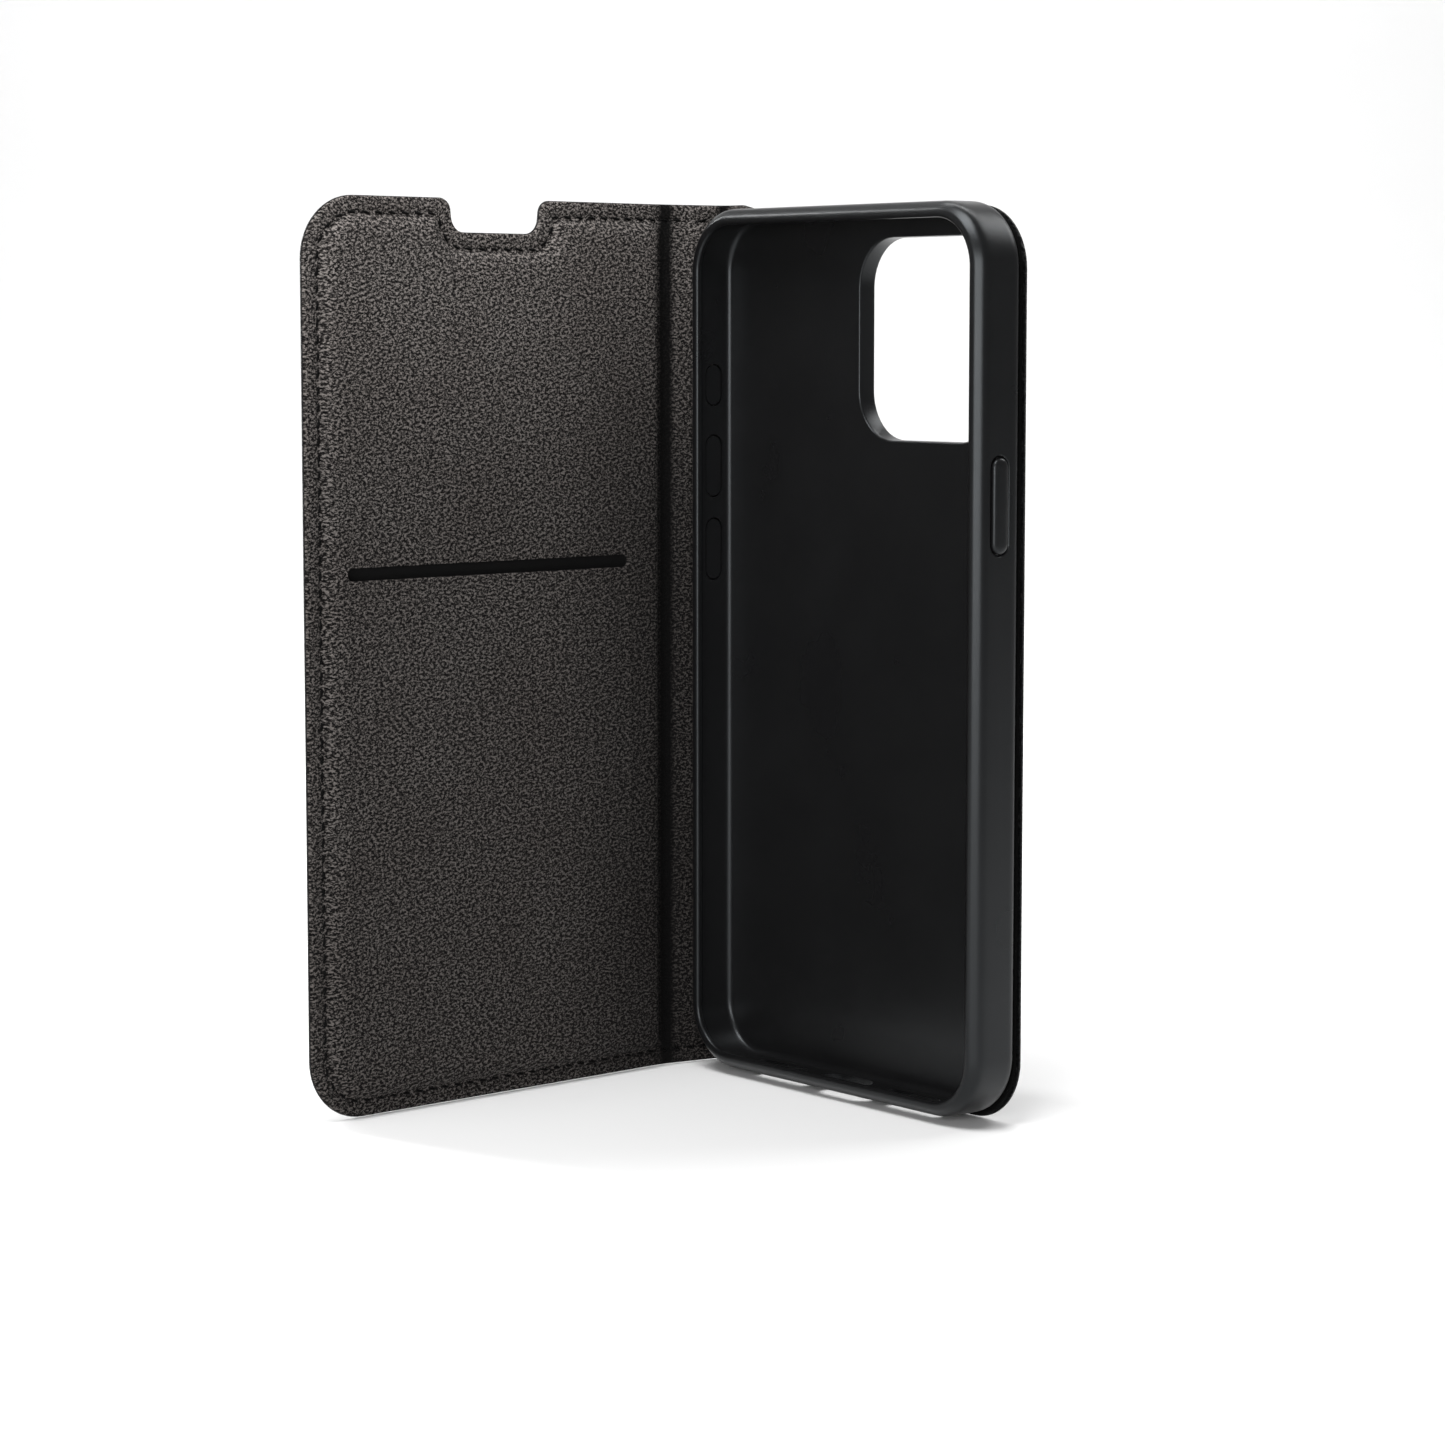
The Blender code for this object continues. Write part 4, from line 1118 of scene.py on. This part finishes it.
CAMERA_AZIMUTH = math.radians(50.68)
CAMERA_PITCH = math.radians(5.92)
CAMERA_DISTANCE, CAMERA_ASIDE, CAMERA_HEIGHT = 727.6 * MM, 0.8 * MM, 142.0 * MM
FOCAL_PIXELS, FRAME_PIXELS = 3730.0, 1445.0
SENSOR_WIDTH = 36.0
# Level directions, as the camera sees them
RIGHT = np.array([math.cos(CAMERA_AZIMUTH), math.sin(CAMERA_AZIMUTH)])
AWAY = np.array([-math.sin(CAMERA_AZIMUTH), math.cos(CAMERA_AZIMUTH)])

FLOOR_SIZE, FLOOR_DEPTH, FLOOR_SWEEP, FLOOR_STEPS = 3.0, 1.2, 0.8, 24
FLOOR_GAP = 0.2 * MM


def make_floor():
    """A pale floor that sweeps up behind the object."""
    profile = [(-FLOOR_SIZE, 0.0), (FLOOR_DEPTH, 0.0)]
    for step in range(1, FLOOR_STEPS + 1):
        t = math.pi / 2 * step / FLOOR_STEPS
        profile.append((FLOOR_DEPTH + FLOOR_SWEEP * math.sin(t), FLOOR_SWEEP * (1 - math.cos(t))))
    profile.append((FLOOR_DEPTH + FLOOR_SWEEP, FLOOR_SIZE))
    sides = (-FLOOR_SIZE, FLOOR_SIZE)
    points = [(*(RIGHT * x + AWAY * y), z - FLOOR_GAP) for y, z in profile for x in sides]
    mesh = bpy.data.meshes.new("floor")
    mesh.from_pydata(points, [], [(i, i + 1, i + 3, i + 2) for i in range(0, len(points) - 2, 2)])
    mesh.shade_smooth()
    g = Graph("pale_floor")
    mottling = g.noise(g.node("TexCoord").outputs["Object"], 6.0)
    colour = g.mix(mottling, (0.86, 0.86, 0.86, 1), (0.90, 0.90, 0.90, 1))
    mesh.materials.append(g.finish(Base_Color=colour, Roughness=0.8))
    link("floor", mesh)


def area_light(name, azimuth, elevation, distance, size, power, aim):
    """A softbox, size wide and high, round the aim. Azimuth is measured from the camera's own direction."""
    data = bpy.data.lights.new(name, "AREA")
    data.shape, data.energy = "RECTANGLE", power
    data.size, data.size_y = size
    lamp = link(name, data)
    turn, lift = CAMERA_AZIMUTH + math.radians(azimuth), math.radians(elevation)
    back = Vector((math.sin(turn) * math.cos(lift), -math.cos(turn) * math.cos(lift), math.sin(lift)))
    lamp.location = aim + back * distance
    lamp.rotation_euler = (-back).to_track_quat("-Z", "Y").to_euler()


def make_camera():
    """The camera stands level with the case's upper part, some 0.73 m from the back fold."""
    data = bpy.data.cameras.new("camera")
    data.sensor_width = SENSOR_WIDTH
    data.lens = SENSOR_WIDTH * FOCAL_PIXELS / FRAME_PIXELS
    camera = link("camera", data)
    spot = BACK_AXIS - AWAY * CAMERA_DISTANCE - RIGHT * CAMERA_ASIDE
    camera.location = (spot[0], spot[1], CAMERA_HEIGHT)
    camera.rotation_euler = (math.pi / 2 - CAMERA_PITCH, 0.0, CAMERA_AZIMUTH)
    bpy.context.scene.camera = camera


def light_scene():
    """Softboxes above, in front of and beside the case, one on the backdrop, and a dim even sky."""
    world = bpy.data.worlds.new("studio")
    world.use_nodes = True
    background = world.node_tree.nodes["Background"]
    background.inputs["Color"].default_value = (1.0, 1.0, 1.0, 1.0)
    background.inputs["Strength"].default_value = 0.18
    bpy.context.scene.world = world
    middle = Vector((0.0, 0.0, 0.09))
    area_light("key", -18, 66, 0.36, (0.24, 0.24), 2.1, Vector((-0.02, -0.02, 0.155)))
    area_light("front", -12, 8, 1.0, (0.75, 0.36), 7.4, middle)
    area_light("rim", 118, 40, 0.9, (0.4, 0.4), 2.2, middle)
    area_light("outer", -125, 25, 0.9, (0.12, 0.7), 4.0, middle)
    area_light("backdrop", 0, 45, 1.6, (1.0, 0.5), 20.0, Vector((*AWAY, 0.0)) * 1.7)
    bpy.context.scene.view_settings.view_transform = "Standard"


make_floor()
make_camera()
light_scene()
